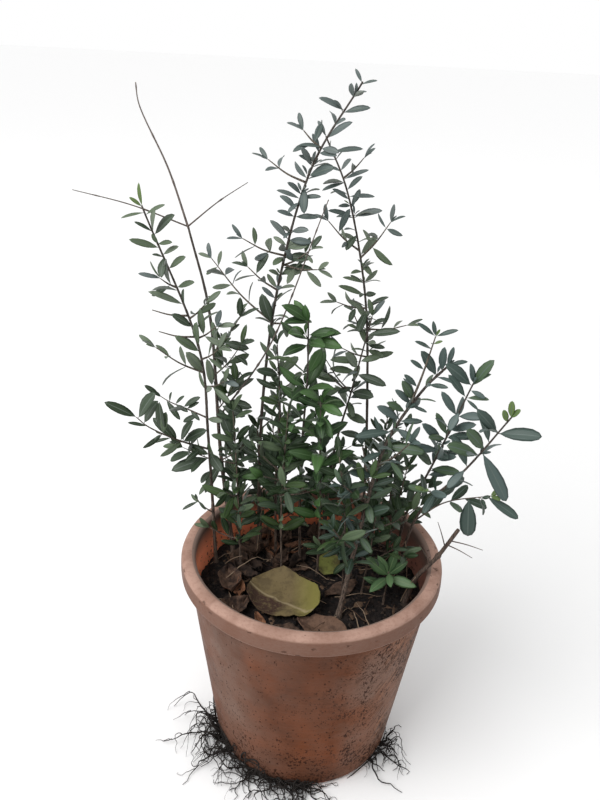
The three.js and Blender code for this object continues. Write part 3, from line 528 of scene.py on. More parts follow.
def join_store(name, store, finishes, smooth=True):
    """One piece of all that a store holds, on the body of the pot."""
    mesh = bpy.data.meshes.new(name)
    mesh.from_pydata(np.vstack(store["corners"]).tolist(), [], store["faces"])
    for finish in finishes:
        mesh.materials.append(finish)
    mesh.polygons.foreach_set("material_index", store["materials"])
    mesh.polygons.foreach_set("use_smooth", [smooth] * len(mesh.polygons))
    mesh.update()
    piece = bpy.data.objects.new(name, mesh)
    bpy.context.scene.collection.objects.link(piece)
    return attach(piece, "root")


def rough_finish(name, tint, scale, share, depth):
    """Dry, rough matter: a tint that noise darkens by a share, with fine relief."""
    finish, shader, place = new_finish(name, tint, 0.9, gloss=0.25)
    grain = noise_of(place, scale, 5.0, 0.65)
    dark = tuple(share * part for part in tint)
    feed(shader, "Base Color", mix_colours(between(grain, 0.35, 0.65), (*dark, 1), (*tint, 1)))
    bump_of(shader, grain, 0.5, depth)
    return finish


def strewn(dice, margin):
    """Place drawn anywhere on the soil, at least a margin from its edge."""
    reach = (SOIL_RADIUS - margin) * math.sqrt(dice.random())
    around = 2 * math.pi * dice.random()
    return reach * math.cos(around), reach * math.sin(around)


dice = np.random.default_rng(41)
store = new_store()
for number in range(CRUMBS + CHIPS):
    chip = number >= CRUMBS
    x, y = strewn(dice, CRUMB_MARGIN)
    size = dice.uniform(*CRUMB_SIZE)
    shape = size * dice.uniform(*CRUMB_STRETCH, 3) * (CHIP_SHAPE if chip else CRUMB_SHAPE)
    turn = dice.uniform(0, 2 * math.pi)
    corners = LUMP * shape * dice.uniform(*CRUMB_UNEVEN, (len(LUMP), 1))
    ahead, aside = (math.cos(turn), math.sin(turn), 0), (-math.sin(turn), math.cos(turn), 0)
    corners = corners @ np.array([ahead, aside, (0, 0, 1)])
    corners[:, 2] += corners[:, 0] * dice.uniform(-CRUMB_TILT, CRUMB_TILT)
    seat = np.array((x, y, soil_height(x, y) + CRUMB_SEAT * shape[2]))
    put(store, corners + seat, LUMP_FACES, int(dice.integers(*(CHIP_DEAL if chip else CRUMB_DEAL))))
crumb_finishes = [rough_finish(name, tint, 600.0, 0.6, 0.0006) for name, tint in CRUMB_TINTS.items()]
crumbs = join_store("soil_crumbs", store, crumb_finishes, smooth=False)

# Straws: thin dry stalks and rootlets, most of them strewn on the soil, a few laid across it in a bow and
# a few that stand in it. Each is a thin limb that thins to its end, and all are joined into one piece.
STRAWS = 30
STRAW_MARGIN = 0.02
STRAW_LENGTH = (0.02, 0.07)
STRAW_LIFT = 0.0015
STRAW_BOW = 0.006
STRAW_STEPS = 7
STRAW_RADII = (0.0005, 0.0003)
LAID_LIFT = 0.002
LAID_STEPS = 9
LAID_RADII = (0.0006, 0.0003)
STANDING_STEPS = 8
STANDING_RADII = (0.0007, 0.0003)
STANDING_SUNK = 0.004
STANDING_BEND = 0.6
STRAW_TINTS = {"straw_tan": (0.27, 0.195, 0.135), "straw_brown": (0.085, 0.048, 0.030)}
LAID_STRAWS = (((-0.050, 0.034), (0.032, 0.088), 0.004), ((-0.092, 0.000), (-0.040, 0.036), 0.014),
               ((-0.080, -0.050), (-0.088, -0.018), 0.003), ((0.052, -0.070), (0.044, -0.040), 0.004),
               ((0.062, -0.066), (0.050, -0.030), 0.004), ((0.020, -0.062), (0.048, -0.036), 0.003))
STANDING_STRAWS = (((0.098, -0.020), (0.006, -0.012, 0.052)), ((0.108, 0.010), (-0.006, -0.010, 0.070)),
                   ((0.086, 0.004), (0.010, -0.006, 0.046)), ((0.094, 0.034), (0.002, -0.014, 0.066)),
                   ((-0.098, 0.030), (0.014, -0.016, 0.034)), ((0.040, 0.070), (-0.016, -0.010, 0.046)),
                   ((0.076, 0.030), (0.016, -0.012, 0.060)), ((-0.062, 0.046), (0.004, -0.006, 0.090)))


def unit(vector):
    """Vector of length 1 in the same direction."""
    return np.asarray(vector, float) / np.linalg.norm(vector)


def limb(course, radii, sides):
    """Corners and faces of a tapering limb along a course, closed by a point at each end."""
    course = np.asarray(course, float)
    radii = np.asarray(radii, float)
    along = np.gradient(course, axis=0)
    along /= np.linalg.norm(along, axis=1)[:, None]
    side = unit(np.cross(along[0], (0.31, 0.83, 0.47)))
    turns = 2 * np.pi * np.arange(sides) / sides
    rings = []
    for centre, radius, ahead in zip(course, radii, along):
        side = unit(side - ahead * side.dot(ahead))
        over = np.cross(ahead, side)
        radius = np.broadcast_to(radius, (sides,))[:, None]
        rings.append(centre + radius * (np.cos(turns)[:, None] * side + np.sin(turns)[:, None] * over))
    corners = np.vstack(rings + [course[:1], course[-1:]])
    last = (len(course) - 1) * sides
    faces = []
    for k in range(sides):
        m = (k + 1) % sides
        faces += [(i + k, i + m, i + m + sides, i + k + sides) for i in range(0, last, sides)]
        faces += [(last + sides, m, k), (last + sides + 1, last + k, last + m)]
    return corners, faces


def put_straw(store, flat, lifts, thick, sides, tint):
    """Adds a straw that runs over the soil, at a lift from it at each of its flat places."""
    course = [(x, y, soil_height(x, y) + lift) for (x, y), lift in zip(flat, lifts)]
    put(store, *limb(course, np.linspace(*thick, len(course)), sides), tint)


store = new_store()
for _ in range(STRAWS):
    start = np.array(strewn(dice, STRAW_MARGIN))
    heading = 2 * math.pi * dice.random()
    length = dice.uniform(*STRAW_LENGTH)
    end = start + length * np.array((math.cos(heading), math.sin(heading)))
    end = end / max(1, np.linalg.norm(end) / (SOIL_RADIUS - CRUMB_MARGIN))
    bow = STRAW_LIFT + STRAW_BOW * dice.random() * np.sin(np.linspace(0, np.pi, STRAW_STEPS))
    tint = int(dice.integers(0, len(STRAW_TINTS)))
    put_straw(store, np.linspace(start, end, STRAW_STEPS), bow, STRAW_RADII, 4, tint)
for start, end, rise in LAID_STRAWS:
    bow = LAID_LIFT + rise * np.sin(np.linspace(0, np.pi, LAID_STEPS))
    put_straw(store, np.linspace(start, end, LAID_STEPS), bow, LAID_RADII, 5, 0)
for foot, lean in STANDING_STRAWS:
    base = np.array((*foot, soil_height(*foot) - STANDING_SUNK))
    share = np.linspace(0, 1, STANDING_STEPS)[:, None]
    course = base + share * np.array(lean) + share ** 2 * np.array((*lean[:2], 0)) * STANDING_BEND
    put(store, *limb(course, np.linspace(*STANDING_RADII, STANDING_STEPS), 5), 0)
straw_finishes = [rough_finish(name, tint, 500.0, 0.6, 0.0003) for name, tint in STRAW_TINTS.items()]
straws = join_store("soil_straws", store, straw_finishes)

# Fallen leaves and a bark chip: dry leaves that lie curled on the soil, one of them large and yellow with
# brown blotches. Each is a grid drawn to a leaf's outline, curled in code and given its thickness.
LITTER = (
    dict(node="litter_yellow_large", kind="yellow", at=(-0.027, -0.033), size=(0.086, 0.068), turn=-33,
         curl=0.006, lift=0.0045, lifts=((1, 0, -0.012, 32), (-1, 0, 0.050, 24), (0, 1, -0.016, 20))),
    dict(node="litter_yellow_small", kind="young", at=(0.021, 0.026), size=(0.034, 0.026), turn=70,
         curl=0.005, lift=0.0045, lifts=((0, 1, 0.016, 14),)),
    dict(node="litter_brown_1", kind="brown", at=(-0.088, -0.006), size=(0.042, 0.026), turn=100, curl=0.018),
    dict(node="litter_brown_2", kind="brown", at=(-0.078, -0.054), size=(0.042, 0.024), turn=55, curl=0.018),
    dict(node="litter_brown_3", kind="tan", at=(0.013, -0.075), size=(0.054, 0.034), turn=160, curl=0.009),
    dict(node="litter_bark", kind="bark", at=(-0.012, 0.068), size=(0.036, 0.011), turn=15, curl=0.003,
         layers=5),
)
LITTER_CELLS = (22, 12)
LITTER_THICKNESS = 0.0006
LITTER_LIFT = 0.0015
LITTER_CREASE_ANGLE = 60
RAGGED = 0.10
TOOTHED = 0.035
ROT_SHIFT = (0.0047, 0.0424, 0)
ROT_TURN = math.radians(33)
ROT_TINT = (0.036, 0.018, 0.012, 1)
CREASE_TINT = (0.250, 0.200, 0.120, 1)
MARGIN_TINT = (0.155, 0.142, 0.034, 1)


def rotted(place, colour):
    """Colour of the large leaf: greener at its right margin, with one mottled brown side."""
    colour = coat(colour, MARGIN_TINT, between(axes_of(place)["X"], -0.020, 0.004), 0.85)
    along, across, _ = axes_of(shifted(place, ROT_SHIFT, turn=(0, 0, ROT_TURN)))
    crease = product(between(across, -0.0085, -0.007), between(across, -0.0045, -0.006))
    colour = coat(colour, CREASE_TINT, crease, 0.6)
    waver = noise_of(place, 110.0, 4.0, 0.6)
    one_side = between(sum_of(waver, 0.012, across), -0.001, -0.004)
    lower_end = between(sum_of(waver, 0.020, along), 0.021, 0.013)
    mottle = patches(place, 260.0, 0.30, 0.52, rough=0.75)
    return coat(colour, ROT_TINT, product(one_side, lower_end), mottle)


def litter_finish(kind, tint, blotch, scale):
    """Dry leaf: a tint with darker blotches, and veins across it as fine relief."""
    finish, shader, place = new_finish(f"litter_{kind}_dry", tint, 0.75, gloss=0.2)
    spot = patches(place, scale, 0.46, 0.60, detail=5.0, rough=0.65)
    colour = mix_colours(spot, (*tint, 1), (*blotch, 1))
    colour = coat(colour, (*blotch, 1), specks_of(place, 420.0, 0.3), 0.7)
    if kind == "yellow":
        colour = rotted(place, colour)
    feed(shader, "Base Color", colour)
    vein = add_node(place.id_data, "ShaderNodeTexVoronoi", {"Vector": place, "Scale": 190.0},
                    feature="DISTANCE_TO_EDGE")
    bump_of(shader, vein.outputs["Distance"], 0.5, 0.0009)
    return finish


def laid(at, turn, along, across):
    """Place on the soil of a point along and across a leaf that is turned there."""
    x = at[0] + along * math.cos(turn) - across * math.sin(turn)
    y = at[1] + along * math.sin(turn) + across * math.cos(turn)
    return x, y


litter_finishes = {
    "yellow": litter_finish("yellow", (0.120, 0.089, 0.041), (0.080, 0.058, 0.028), 60.0),
    "young": litter_finish("young", (0.130, 0.140, 0.034), (0.070, 0.060, 0.020), 60.0),
    "brown": litter_finish("brown", (0.085, 0.050, 0.034), (0.022, 0.013, 0.010), 75.0),
    "tan": litter_finish("tan", (0.112, 0.064, 0.042), (0.062, 0.035, 0.024), 60.0),
    "bark": rough_finish("litter_bark_dry", (0.15, 0.070, 0.040), 300.0, 0.45, 0.0015),
}
for leaf in LITTER:
    bpy.ops.object.select_all(action="DESELECT")
    columns, rows = LITTER_CELLS
    bpy.ops.mesh.primitive_grid_add(x_subdivisions=columns, y_subdivisions=rows, size=2)
    piece = bpy.context.object
    piece.name = leaf["node"] + "_dry"
    length, width = leaf["size"]
    for vertex in piece.data.vertices:
        u, v, _ = vertex.co
        belly = (1 - abs(u) ** 2.4) ** 0.75 * (1 - 0.18 * u)
        torn = RAGGED * noise.noise(Vector((u * 3, v * 2, length * 900)))
        ragged = 1 + torn + TOOTHED * math.sin(34 * u) * abs(v)
        across = width / 2 * v * max(belly, 0.03) * ragged
        x, y = laid(leaf["at"], math.radians(leaf["turn"]), length / 2 * u, across)
        curled = leaf["curl"] * (0.62 * v * v * belly + 0.38 * u * u)
        wave = 0.35 * leaf["curl"] * noise.noise(Vector((u * 2.2, v * 2.2, length * 500)))
        lift = leaf.get("lift", LITTER_LIFT)
        for toward_x, toward_y, start, steep in leaf.get("lifts", ()):
            lift += steep * max(0, toward_x * x + toward_y * y - start) ** 2
        vertex.co = (x, y, max(soil_height(x, y), SOIL_TOP) + lift + curled + wave)
    apply_modifier(piece, "SOLIDIFY", thickness=LITTER_THICKNESS * leaf.get("layers", 1), offset=1)
    shade_smooth(piece, LITTER_CREASE_ANGLE)
    piece.data.materials.append(litter_finishes[leaf["kind"]])
    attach(piece, "root")
    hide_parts(leaf["node"])

# Scraps: torn bits of older dry leaf between the stems, dark brown, with a few orange ones at set places.
# Each is a small curled and crumpled sheet with its thickness, and all are joined into one piece.
SCRAPS = 46
SCRAP_ARC = (60, 260)
SCRAP_MARGIN = 0.026
SCRAP_LENGTH = (0.016, 0.038)
SCRAP_WIDTH = (0.35, 0.6)
SCRAP_CURL = (0.004, 0.016)
SCRAP_DEAL = (0, 0, 0, 1, 1)
LARGE_LEAF_ROOM = 0.055
PLACED_SCRAPS = (
    ((-0.045, 0.056), (0.044, 0.017), 100, 0.014, 2), ((-0.012, 0.052), (0.046, 0.009), 12, 0.004, 2),
    ((-0.052, 0.088), (0.038, 0.016), 70, 0.014, 2), ((-0.050, -0.070), (0.026, 0.009), 120, 0.008, 2),
    ((-0.076, -0.022), (0.030, 0.012), 95, 0.012, 2), ((-0.074, 0.036), (0.044, 0.024), 40, 0.016, 1),
    ((-0.022, -0.080), (0.028, 0.015), 165, 0.004, 1), ((0.034, -0.012), (0.040, 0.020), 30, 0.008, 1),
)
SCRAP_TINTS = {"scrap_dark": (0.040, 0.024, 0.017), "scrap_brown": (0.100, 0.060, 0.041),
               "scrap_orange": (0.23, 0.105, 0.056)}
SCRAP_ROWS = 9
SCRAP_COLUMNS = 6
SCRAP_THICKNESS = 0.0007
SCRAP_LIFT = 0.001
SCRAP_SUNK = 0.002
CRUMPLE = 0.0035


def scrap(at, size, turn, curl):
    """Corners and faces of a curled scrap of dry leaf, closed all round."""
    along = np.linspace(-1, 1, SCRAP_ROWS)
    across = np.linspace(-1, 1, SCRAP_COLUMNS)
    u, v = (grid.ravel() for grid in np.meshgrid(along, across, indexing="ij"))
    belly = (1 - np.abs(u) ** 2.2) * 0.85 + 0.15 + 0.12 * np.sin(5 * u + 40 * size[0])
    x, y = laid(at, math.radians(turn), size[0] / 2 * u, size[1] / 2 * v * belly)
    ground = np.array([max(soil_height(*place), SOIL_TOP - SCRAP_SUNK) for place in zip(x, y)])
    crumple = np.array([noise.noise(Vector((1.8 * a, 1.8 * b, 900 * at[0]))) for a, b in zip(u, v)])
    z = ground + SCRAP_LIFT + curl * (0.6 * v * v + 0.4 * u * u) + CRUMPLE * crumple
    top = np.column_stack([x, y, z])
    corners = np.vstack([top, top - (0, 0, SCRAP_THICKNESS)])
    count = len(top)
    faces = []
    for row in range(SCRAP_ROWS - 1):
        for column in range(SCRAP_COLUMNS - 1):
            a = row * SCRAP_COLUMNS + column
            b, c, d = a + SCRAP_COLUMNS, a + SCRAP_COLUMNS + 1, a + 1
            faces += [(a, b, c, d), (count + d, count + c, count + b, count + a)]
    rows = list(range(0, count, SCRAP_COLUMNS))
    edge = rows + list(range(rows[-1] + 1, count)) + [row + SCRAP_COLUMNS - 1 for row in rows[-2::-1]]
    edge += list(range(SCRAP_COLUMNS - 2, 0, -1))
    faces += [(a, count + a, count + b, b) for a, b in zip(edge, edge[1:] + edge[:1])]
    return corners, faces


dice = np.random.default_rng(77)
scraps_laid = list(PLACED_SCRAPS)
for _ in range(SCRAPS):
    around = math.radians(dice.uniform(*SCRAP_ARC))
    reach = (SOIL_RADIUS - SCRAP_MARGIN) * math.sqrt(dice.random())
    length = dice.uniform(*SCRAP_LENGTH)
    at = (reach * math.cos(around), reach * math.sin(around))
    if math.dist(at, LITTER[0]["at"]) < LARGE_LEAF_ROOM:
        continue
    size = (length, length * dice.uniform(*SCRAP_WIDTH))
    turn = dice.uniform(0, 360)
    curl = dice.uniform(*SCRAP_CURL)
    scraps_laid.append((at, size, turn, curl, int(dice.choice(SCRAP_DEAL))))
store = new_store()
for at, size, turn, curl, kind in scraps_laid:
    put(store, *scrap(at, size, turn, curl), kind)
scrap_finishes = [rough_finish(name, tint, 140.0, 0.22, 0.0012) for name, tint in SCRAP_TINTS.items()]
scraps = join_store("litter_scraps", store, scrap_finishes)

# Root tufts: black wiry roots that have grown out of the drain notches and lie tangled on the ground.
# Each strand wanders outwards by a seeded rule, forks, and thins to a hair.
TUFTS = (
    dict(node="roots_left", angle=215, reach=0.070, spread=40, strands=38, mat=14, rise=0.036, seed=311),
    dict(node="roots_front", angle=254, reach=0.052, spread=36, strands=36, mat=40, rise=0.012, seed=322),
    dict(node="roots_right", angle=326, reach=0.052, spread=20, strands=14, mat=8, rise=0.022, seed=333),
)
MAT_SHARE = 0.45
ROOT_RADIUS = (0.0013, 0.0004)
ROOT_STEPS = 12
ROOT_WANDER = 0.55
ROOT_LIFT = 0.0012
ROOT_CLEAR = 0.0015
ROOT_ARC = 0.55
ROOT_FAN = 0.9
ROOT_STRAY = 0.4
ROOT_INSET = 0.006
ROOT_DEPTH = 0.008
ROOT_HEIGHT = (0.0015, 0.005)
ROOT_LENGTH = (0.6, 1.15)
ROOT_THICK = (0.45, 1)
WALL_LEAN = 0.14
FORK_THICK = 0.55
FORK_RISE = 0.4
FORK_LENGTH = (0.2, 0.4)
FORK_TURN = 1.0


def wander(start, heading, length, dice, rise):
    """Course of a root that wanders along the ground from a start."""
    step = length / ROOT_STEPS
    height = np.sin(np.linspace(0, np.pi, ROOT_STEPS + 1)) * rise
    flat = [np.array(start[:2])]
    for _ in range(ROOT_STEPS):
        heading += dice.normal(0, ROOT_WANDER)
        flat.append(flat[-1] + step * np.array((math.cos(heading), math.sin(heading))))
    floor_rise = start[2] * np.linspace(1, 0, ROOT_STEPS + 1) + ROOT_LIFT
    course = np.column_stack([np.array(flat), floor_rise + height])
    radius = np.linalg.norm(course[:, :2], axis=1)
    least = BASE_RADIUS + WALL_LEAN * course[:, 2] + ROOT_CLEAR
    pushed = np.maximum(1, np.where(np.arange(ROOT_STEPS + 1) > 1, least / radius, 1))
    course[:, :2] *= pushed[:, None]
    return course


root_finish = rough_finish("root_black", (0.020, 0.016, 0.014), 400.0, 0.5, 0.0004)
root_taper = np.linspace(*ROOT_RADIUS, ROOT_STEPS + 1)
for tuft in TUFTS:
    dice = np.random.default_rng(tuft["seed"])
    store = new_store()
    for number in range(tuft["strands"] + tuft["mat"]):
        strand = number < tuft["strands"]
        side = dice.uniform(-1, 1)
        around = math.radians(tuft["angle"] + ROOT_ARC * tuft["spread"] * side)
        begin = BASE_RADIUS - ROOT_INSET + ROOT_DEPTH * dice.random()
        height = ROOT_HEIGHT[0] + ROOT_HEIGHT[1] * dice.random()
        start = (begin * math.cos(around), begin * math.sin(around), height)
        heading = around + math.radians(ROOT_FAN * tuft["spread"]) * (side + dice.normal(0, ROOT_STRAY))
        length = tuft["reach"] * dice.uniform(*ROOT_LENGTH) * (1 if strand else MAT_SHARE)
        course = wander(start, heading, length, dice, tuft["rise"] * dice.random() ** 2)
        thick = dice.uniform(*ROOT_THICK)
        put(store, *limb(course, thick * root_taper, 4), 0)
        for _ in range(dice.integers(1, 4) if strand else 1):
            knot = course[dice.integers(3, ROOT_STEPS - 1)]
            fork_heading = heading + dice.normal(0, FORK_TURN)
            fork_length = length * dice.uniform(*FORK_LENGTH)
            fork_rise = FORK_RISE * tuft["rise"] * dice.random() ** 2
            branch = wander(knot, fork_heading, fork_length, dice, fork_rise)
            put(store, *limb(branch, FORK_THICK * thick * root_taper, 3), 0)
    roots = join_store(tuft["node"] + "_wiry", store, [root_finish])
    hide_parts(tuft["node"])

# Stems: slender woody shoots from one root, grey-brown, with a flare at the soil and low rings where
# leaves once stood. Each is a tube along its course whose skin is raised and lowered by noise. A course
# runs from foot to tip; a twig or leaf with a place of its own has the height it leaves at, then its tip.
SHOOTS = (
    dict(name="left", seed=12, dia=0.0038, bare=0.395, finish="grey", deal="mid",
         leaf=0.027, gap=0.021, slender=4.0, twiggy=0, kept=0.3, buds=0, passes=1, tender=2, own_tip=True,
         course=((-0.107, 0.031, SOIL_TOP), (-0.113, 0.013, 0.370), (-0.119, -0.001, 0.470),
                 (-0.165, -0.020, 0.610)),
         twigs=((0.446, (-0.159, -0.010, 0.475)), (0.485, (-0.156, -0.009, 0.491), ()),
                (0.507, (-0.161, -0.012, 0.513), ()), (0.535, (-0.152, -0.014, 0.544)),
                (0.483, (-0.102, -0.013, 0.500)), (0.461, (-0.100, -0.012, 0.477)),
                (0.504, (-0.113, -0.012, 0.520)), (0.430, (-0.094, -0.016, 0.446))),
         leaves=((0.609, (-0.166, -0.024, 0.630), 5), (0.609, (-0.175, -0.022, 0.617), 3.6),
                 (0.602, (-0.144, -0.025, 0.613), 4.6), (0.604, (-0.182, -0.027, 0.600), 5.5),
                 (0.587, (-0.152, -0.029, 0.608), 2.6), (0.584, (-0.136, -0.026, 0.605), 2.6),
                 (0.587, (-0.171, -0.025, 0.597), 4.6), (0.576, (-0.157, -0.021, 0.586), 3.2),
                 (0.576, (-0.139, -0.023, 0.580), 3.2), (0.566, (-0.134, -0.020, 0.576), 3.4),
                 (0.564, (-0.157, -0.022, 0.568), 3), (0.564, (-0.148, -0.030, 0.550), 2.6),
                 (0.553, (-0.128, -0.020, 0.567), 2.8), (0.535, (-0.121, -0.016, 0.543), 3),
                 (0.518, (-0.163, -0.016, 0.532), 5), (0.518, (-0.131, -0.016, 0.536), 3.6),
                 (0.495, (-0.143, -0.012, 0.510), 3), (0.469, (-0.141, -0.009, 0.487), 3.2),
                 (0.475, (-0.120, -0.014, 0.504), 3.4), (0.447, (-0.131, -0.008, 0.471), 3),
                 (0.343, (-0.150, 0.002, 0.334), 3), (0.327, (-0.120, 0.006, 0.318), 2.3),
                 (0.347, (-0.133, 0.010, 0.358), 3), (0.316, (-0.122, 0.005, 0.304), 4),
                 (0.392, (-0.097, 0.000, 0.395), 3.2), (0.350, (-0.097, -0.002, 0.338), 2.2))),
    dict(name="tall_left", seed=31, dia=0.0040, bare=0.470, finish="grey", deal="tall",
         leaf=0.022, gap=0.0135, slender=3.5, twiggy=0.05, spread=66, kept=0.7, finer_to=0.5, own_tip=True,
         course=((-0.061, 0.054, SOIL_TOP), (-0.060, 0.046, 0.397), (-0.047, 0.040, 0.530),
                 (-0.020, 0.034, 0.642), (0.019, 0.030, 0.714)),
         twigs=((0.487, (-0.118, 0.086, 0.536)), (0.521, (-0.078, 0.046, 0.541)),
                (0.546, (-0.018, 0.028, 0.566)), (0.556, (-0.082, 0.029, 0.573)),
                (0.626, (-0.061, 0.045, 0.643)), (0.657, (-0.030, 0.037, 0.671))),
         leaves=((0.713, (0.012, 0.034, 0.724), 4), (0.712, (0.031, 0.024, 0.716), 4.4),
                 (0.701, (0.009, 0.023, 0.713), 2.4), (0.690, (-0.018, 0.025, 0.700), 3.5),
                 (0.688, (0.027, 0.025, 0.694), 3.7), (0.677, (0.006, 0.020, 0.684), 2.4),
                 (0.658, (-0.033, 0.027, 0.660), 4.4), (0.657, (0.002, 0.019, 0.656), 2.8),
                 (0.643, (-0.033, 0.026, 0.651), 3), (0.632, (-0.001, 0.021, 0.643), 2.6),
                 (0.486, (-0.063, 0.032, 0.519), 2.9), (0.622, (-0.026, 0.025, 0.600), 2.8),
                 (0.611, (-0.052, 0.030, 0.619), 4.5), (0.608, (-0.041, 0.028, 0.599), 3),
                 (0.612, (-0.011, 0.030, 0.615), 4), (0.594, (-0.051, 0.031, 0.600), 3.2),
                 (0.594, (-0.013, 0.029, 0.596), 3.4), (0.580, (-0.021, 0.029, 0.584), 2.6),
                 (0.580, (-0.044, 0.029, 0.575), 2.8), (0.564, (-0.021, 0.030, 0.569), 2.6),
                 (0.554, (-0.017, 0.031, 0.557), 2.4), (0.544, (-0.015, 0.033, 0.546), 3.6),
                 (0.555, (-0.053, 0.029, 0.549), 2))),
    dict(name="tall_right", seed=47, dia=0.0038, bare=0.430, finish="grey", deal="tall",
         leaf=0.024, gap=0.0130, slender=4.2, twiggy=0.05, spread=70, kept=0.7, finer_to=0.5,
         course=((0.061, 0.072, SOIL_TOP), (0.052, 0.078, 0.389), (0.040, 0.083, 0.509),
                 (0.014, 0.087, 0.612), (-0.009, 0.090, 0.660)),
         twigs=((0.545, (0.058, 0.068, 0.586)), (0.552, (-0.002, 0.078, 0.582)),
                (0.470, (0.084, 0.066, 0.482)), (0.622, (0.029, 0.094, 0.641))),
         leaves=((0.658, (0.015, 0.084, 0.675), 3.2), (0.646, (0.027, 0.085, 0.651), 4.4),
                 (0.629, (0.016, 0.078, 0.642), 2.6), (0.621, (0.034, 0.084, 0.632), 5),
                 (0.618, (-0.010, 0.079, 0.611), 4.4), (0.605, (0.042, 0.083, 0.607), 4.6),
                 (0.586, (-0.003, 0.080, 0.592), 4.2), (0.586, (0.050, 0.078, 0.595), 3.6),
                 (0.506, (0.012, 0.077, 0.517), 4.6), (0.488, (0.022, 0.074, 0.503), 4.6),
                 (0.488, (0.035, 0.064, 0.473), 2.6), (0.452, (0.065, 0.071, 0.454), 3.2),
                 (0.447, (0.064, 0.066, 0.446), 3), (0.602, (0.000, 0.079, 0.613), 3.6),
                 (0.611, (0.028, 0.081, 0.626), 3.4), (0.594, (0.026, 0.076, 0.612), 2.8),
                 (0.568, (0.017, 0.073, 0.555), 2.6), (0.541, (0.045, 0.076, 0.530), 3))),
    dict(name="second_right", seed=58, dia=0.0034, bare=0.380, finish="grey", deal="mid",
         leaf=0.028, gap=0.018, slender=3.3, twiggy=0.06, kept=0.75, finer_to=0.5,
         course=((0.014, 0.060, SOIL_TOP), (0.019, 0.062, 0.330), (0.033, 0.063, 0.406),
                 (0.048, 0.065, 0.490)),
         twigs=((0.405, (0.006, 0.048, 0.432)),),
         leaves=((0.426, (0.068, 0.051, 0.420), 3.2), (0.405, (0.055, 0.043, 0.410), 2.4),
                 (0.428, (0.008, 0.055, 0.434), 3.4), (0.440, (0.008, 0.058, 0.443), 3.6),
                 (0.433, (0.023, 0.052, 0.454), 2.6), (0.470, (0.077, 0.056, 0.479), 3.6),
                 (0.411, (0.018, 0.052, 0.408), 2.6), (0.395, (0.036, 0.044, 0.384), 3),
                 (0.380, (0.050, 0.046, 0.378), 3), (0.376, (0.009, 0.050, 0.389), 3.2),
                 (0.388, (0.008, 0.052, 0.403), 3.4), (0.357, (0.047, 0.048, 0.360), 3.4))),
    dict(name="centre_front", seed=63, dia=0.0034, bare=0.300, finish="vivid",
         leaf=0.037, gap=0.019, slender=2.8, twiggy=0.02, spread=70, droop=2.2, buds=0.1, own_tip=True,
         course=((-0.012, 0.043, SOIL_TOP), (-0.017, 0.016, 0.345), (-0.015, -0.006, 0.450),
                 (-0.017, -0.024, 0.514)),
         leaves=((0.514, (-0.041, -0.034, 0.532)), (0.514, (-0.031, -0.016, 0.531)),
                 (0.513, (-0.021, -0.028, 0.531), 2.6), (0.513, (-0.039, -0.042, 0.518), 3),
                 (0.494, (-0.034, -0.042, 0.509), 2.3), (0.499, (0.013, -0.028, 0.506)),
                 (0.494, (0.015, -0.034, 0.494)), (0.491, (-0.001, -0.045, 0.499)),
                 (0.488, (-0.039, -0.030, 0.482), 2.6))),
    dict(name="centre_left", seed=71, dia=0.0032, bare=0.310, finish="grey",
         leaf=0.029, gap=0.015, slender=3.2, twiggy=0.08,
         course=((-0.040, 0.048, SOIL_TOP), (-0.043, 0.035, 0.320), (-0.041, 0.027, 0.400),
                 (-0.046, 0.020, 0.472))),
    dict(name="centre_low", seed=89, dia=0.0028, bare=0.275, finish="vivid",
         leaf=0.035, gap=0.018, slender=2.8, twiggy=0.05, spread=68, droop=2.2, buds=0.1, own_tip=True,
         course=((0.008, 0.018, SOIL_TOP), (0.006, 0.004, 0.300), (0.002, -0.006, 0.360),
                 (-0.001, -0.012, 0.432)),
         leaves=((0.431, (0.007, -0.020, 0.446), 2.6), (0.425, (0.020, -0.031, 0.424)),
                 (0.414, (0.012, -0.033, 0.400), 3), (0.412, (0.002, -0.040, 0.402), 3),
                 (0.430, (-0.021, -0.028, 0.445), 2.6))),
    dict(name="right", seed=95, dia=0.0056, bare=0.252, finish="blue",
         leaf=0.027, gap=0.013, slender=4.0, twiggy=0.14,
         course=((0.030, -0.052, SOIL_TOP), (0.048, -0.032, 0.310), (0.066, -0.015, 0.388),
                 (0.099, -0.004, 0.445), (0.118, 0.000, 0.466)),
         twigs=((0.425, (0.100, -0.020, 0.504),
                 ((1, (0.103, -0.022, 0.512), 3, True), (0.9, (0.107, -0.020, 0.500), 3, True),
                  (0.9, (0.096, -0.024, 0.499), 3, True), (1, (0.081, -0.024, 0.518), 5, False),
                  (1, (0.095, -0.026, 0.521), 4.5, False), (1, (0.119, -0.024, 0.513), 4.2, False),
                  (0.84, (0.081, -0.024, 0.500), 4.5, False), (0.84, (0.090, -0.026, 0.496), 3.2, False),
                  (0.55, (0.080, -0.016, 0.478), 3.6, False), (0.30, (0.076, -0.014, 0.462), 3.6, False))),
                (0.365, (0.084, -0.044, 0.404))),
         leaves=((0.297, (0.030, -0.056, 0.299), 2.7), (0.328, (0.056, -0.048, 0.315), 2.6),
                 (0.282, (0.025, -0.061, 0.279), 3), (0.268, (0.035, -0.060, 0.260), 2.6),
                 (0.292, (0.058, -0.054, 0.284), 3), (0.343, (0.020, -0.039, 0.342), 2.8),
                 (0.354, (0.030, -0.036, 0.365), 3.2), (0.313, (0.072, -0.047, 0.334), 3),
                 (0.431, (0.075, -0.013, 0.455), 3.2), (0.457, (0.090, -0.010, 0.485), 3.4),
                 (0.461, (0.112, -0.007, 0.489), 3.4), (0.448, (0.119, -0.015, 0.451), 4),
                 (0.428, (0.069, -0.015, 0.446), 3.6), (0.420, (0.062, -0.017, 0.433), 3.2),
                 (0.427, (0.102, -0.015, 0.424), 5), (0.404, (0.095, -0.024, 0.394), 3.2),
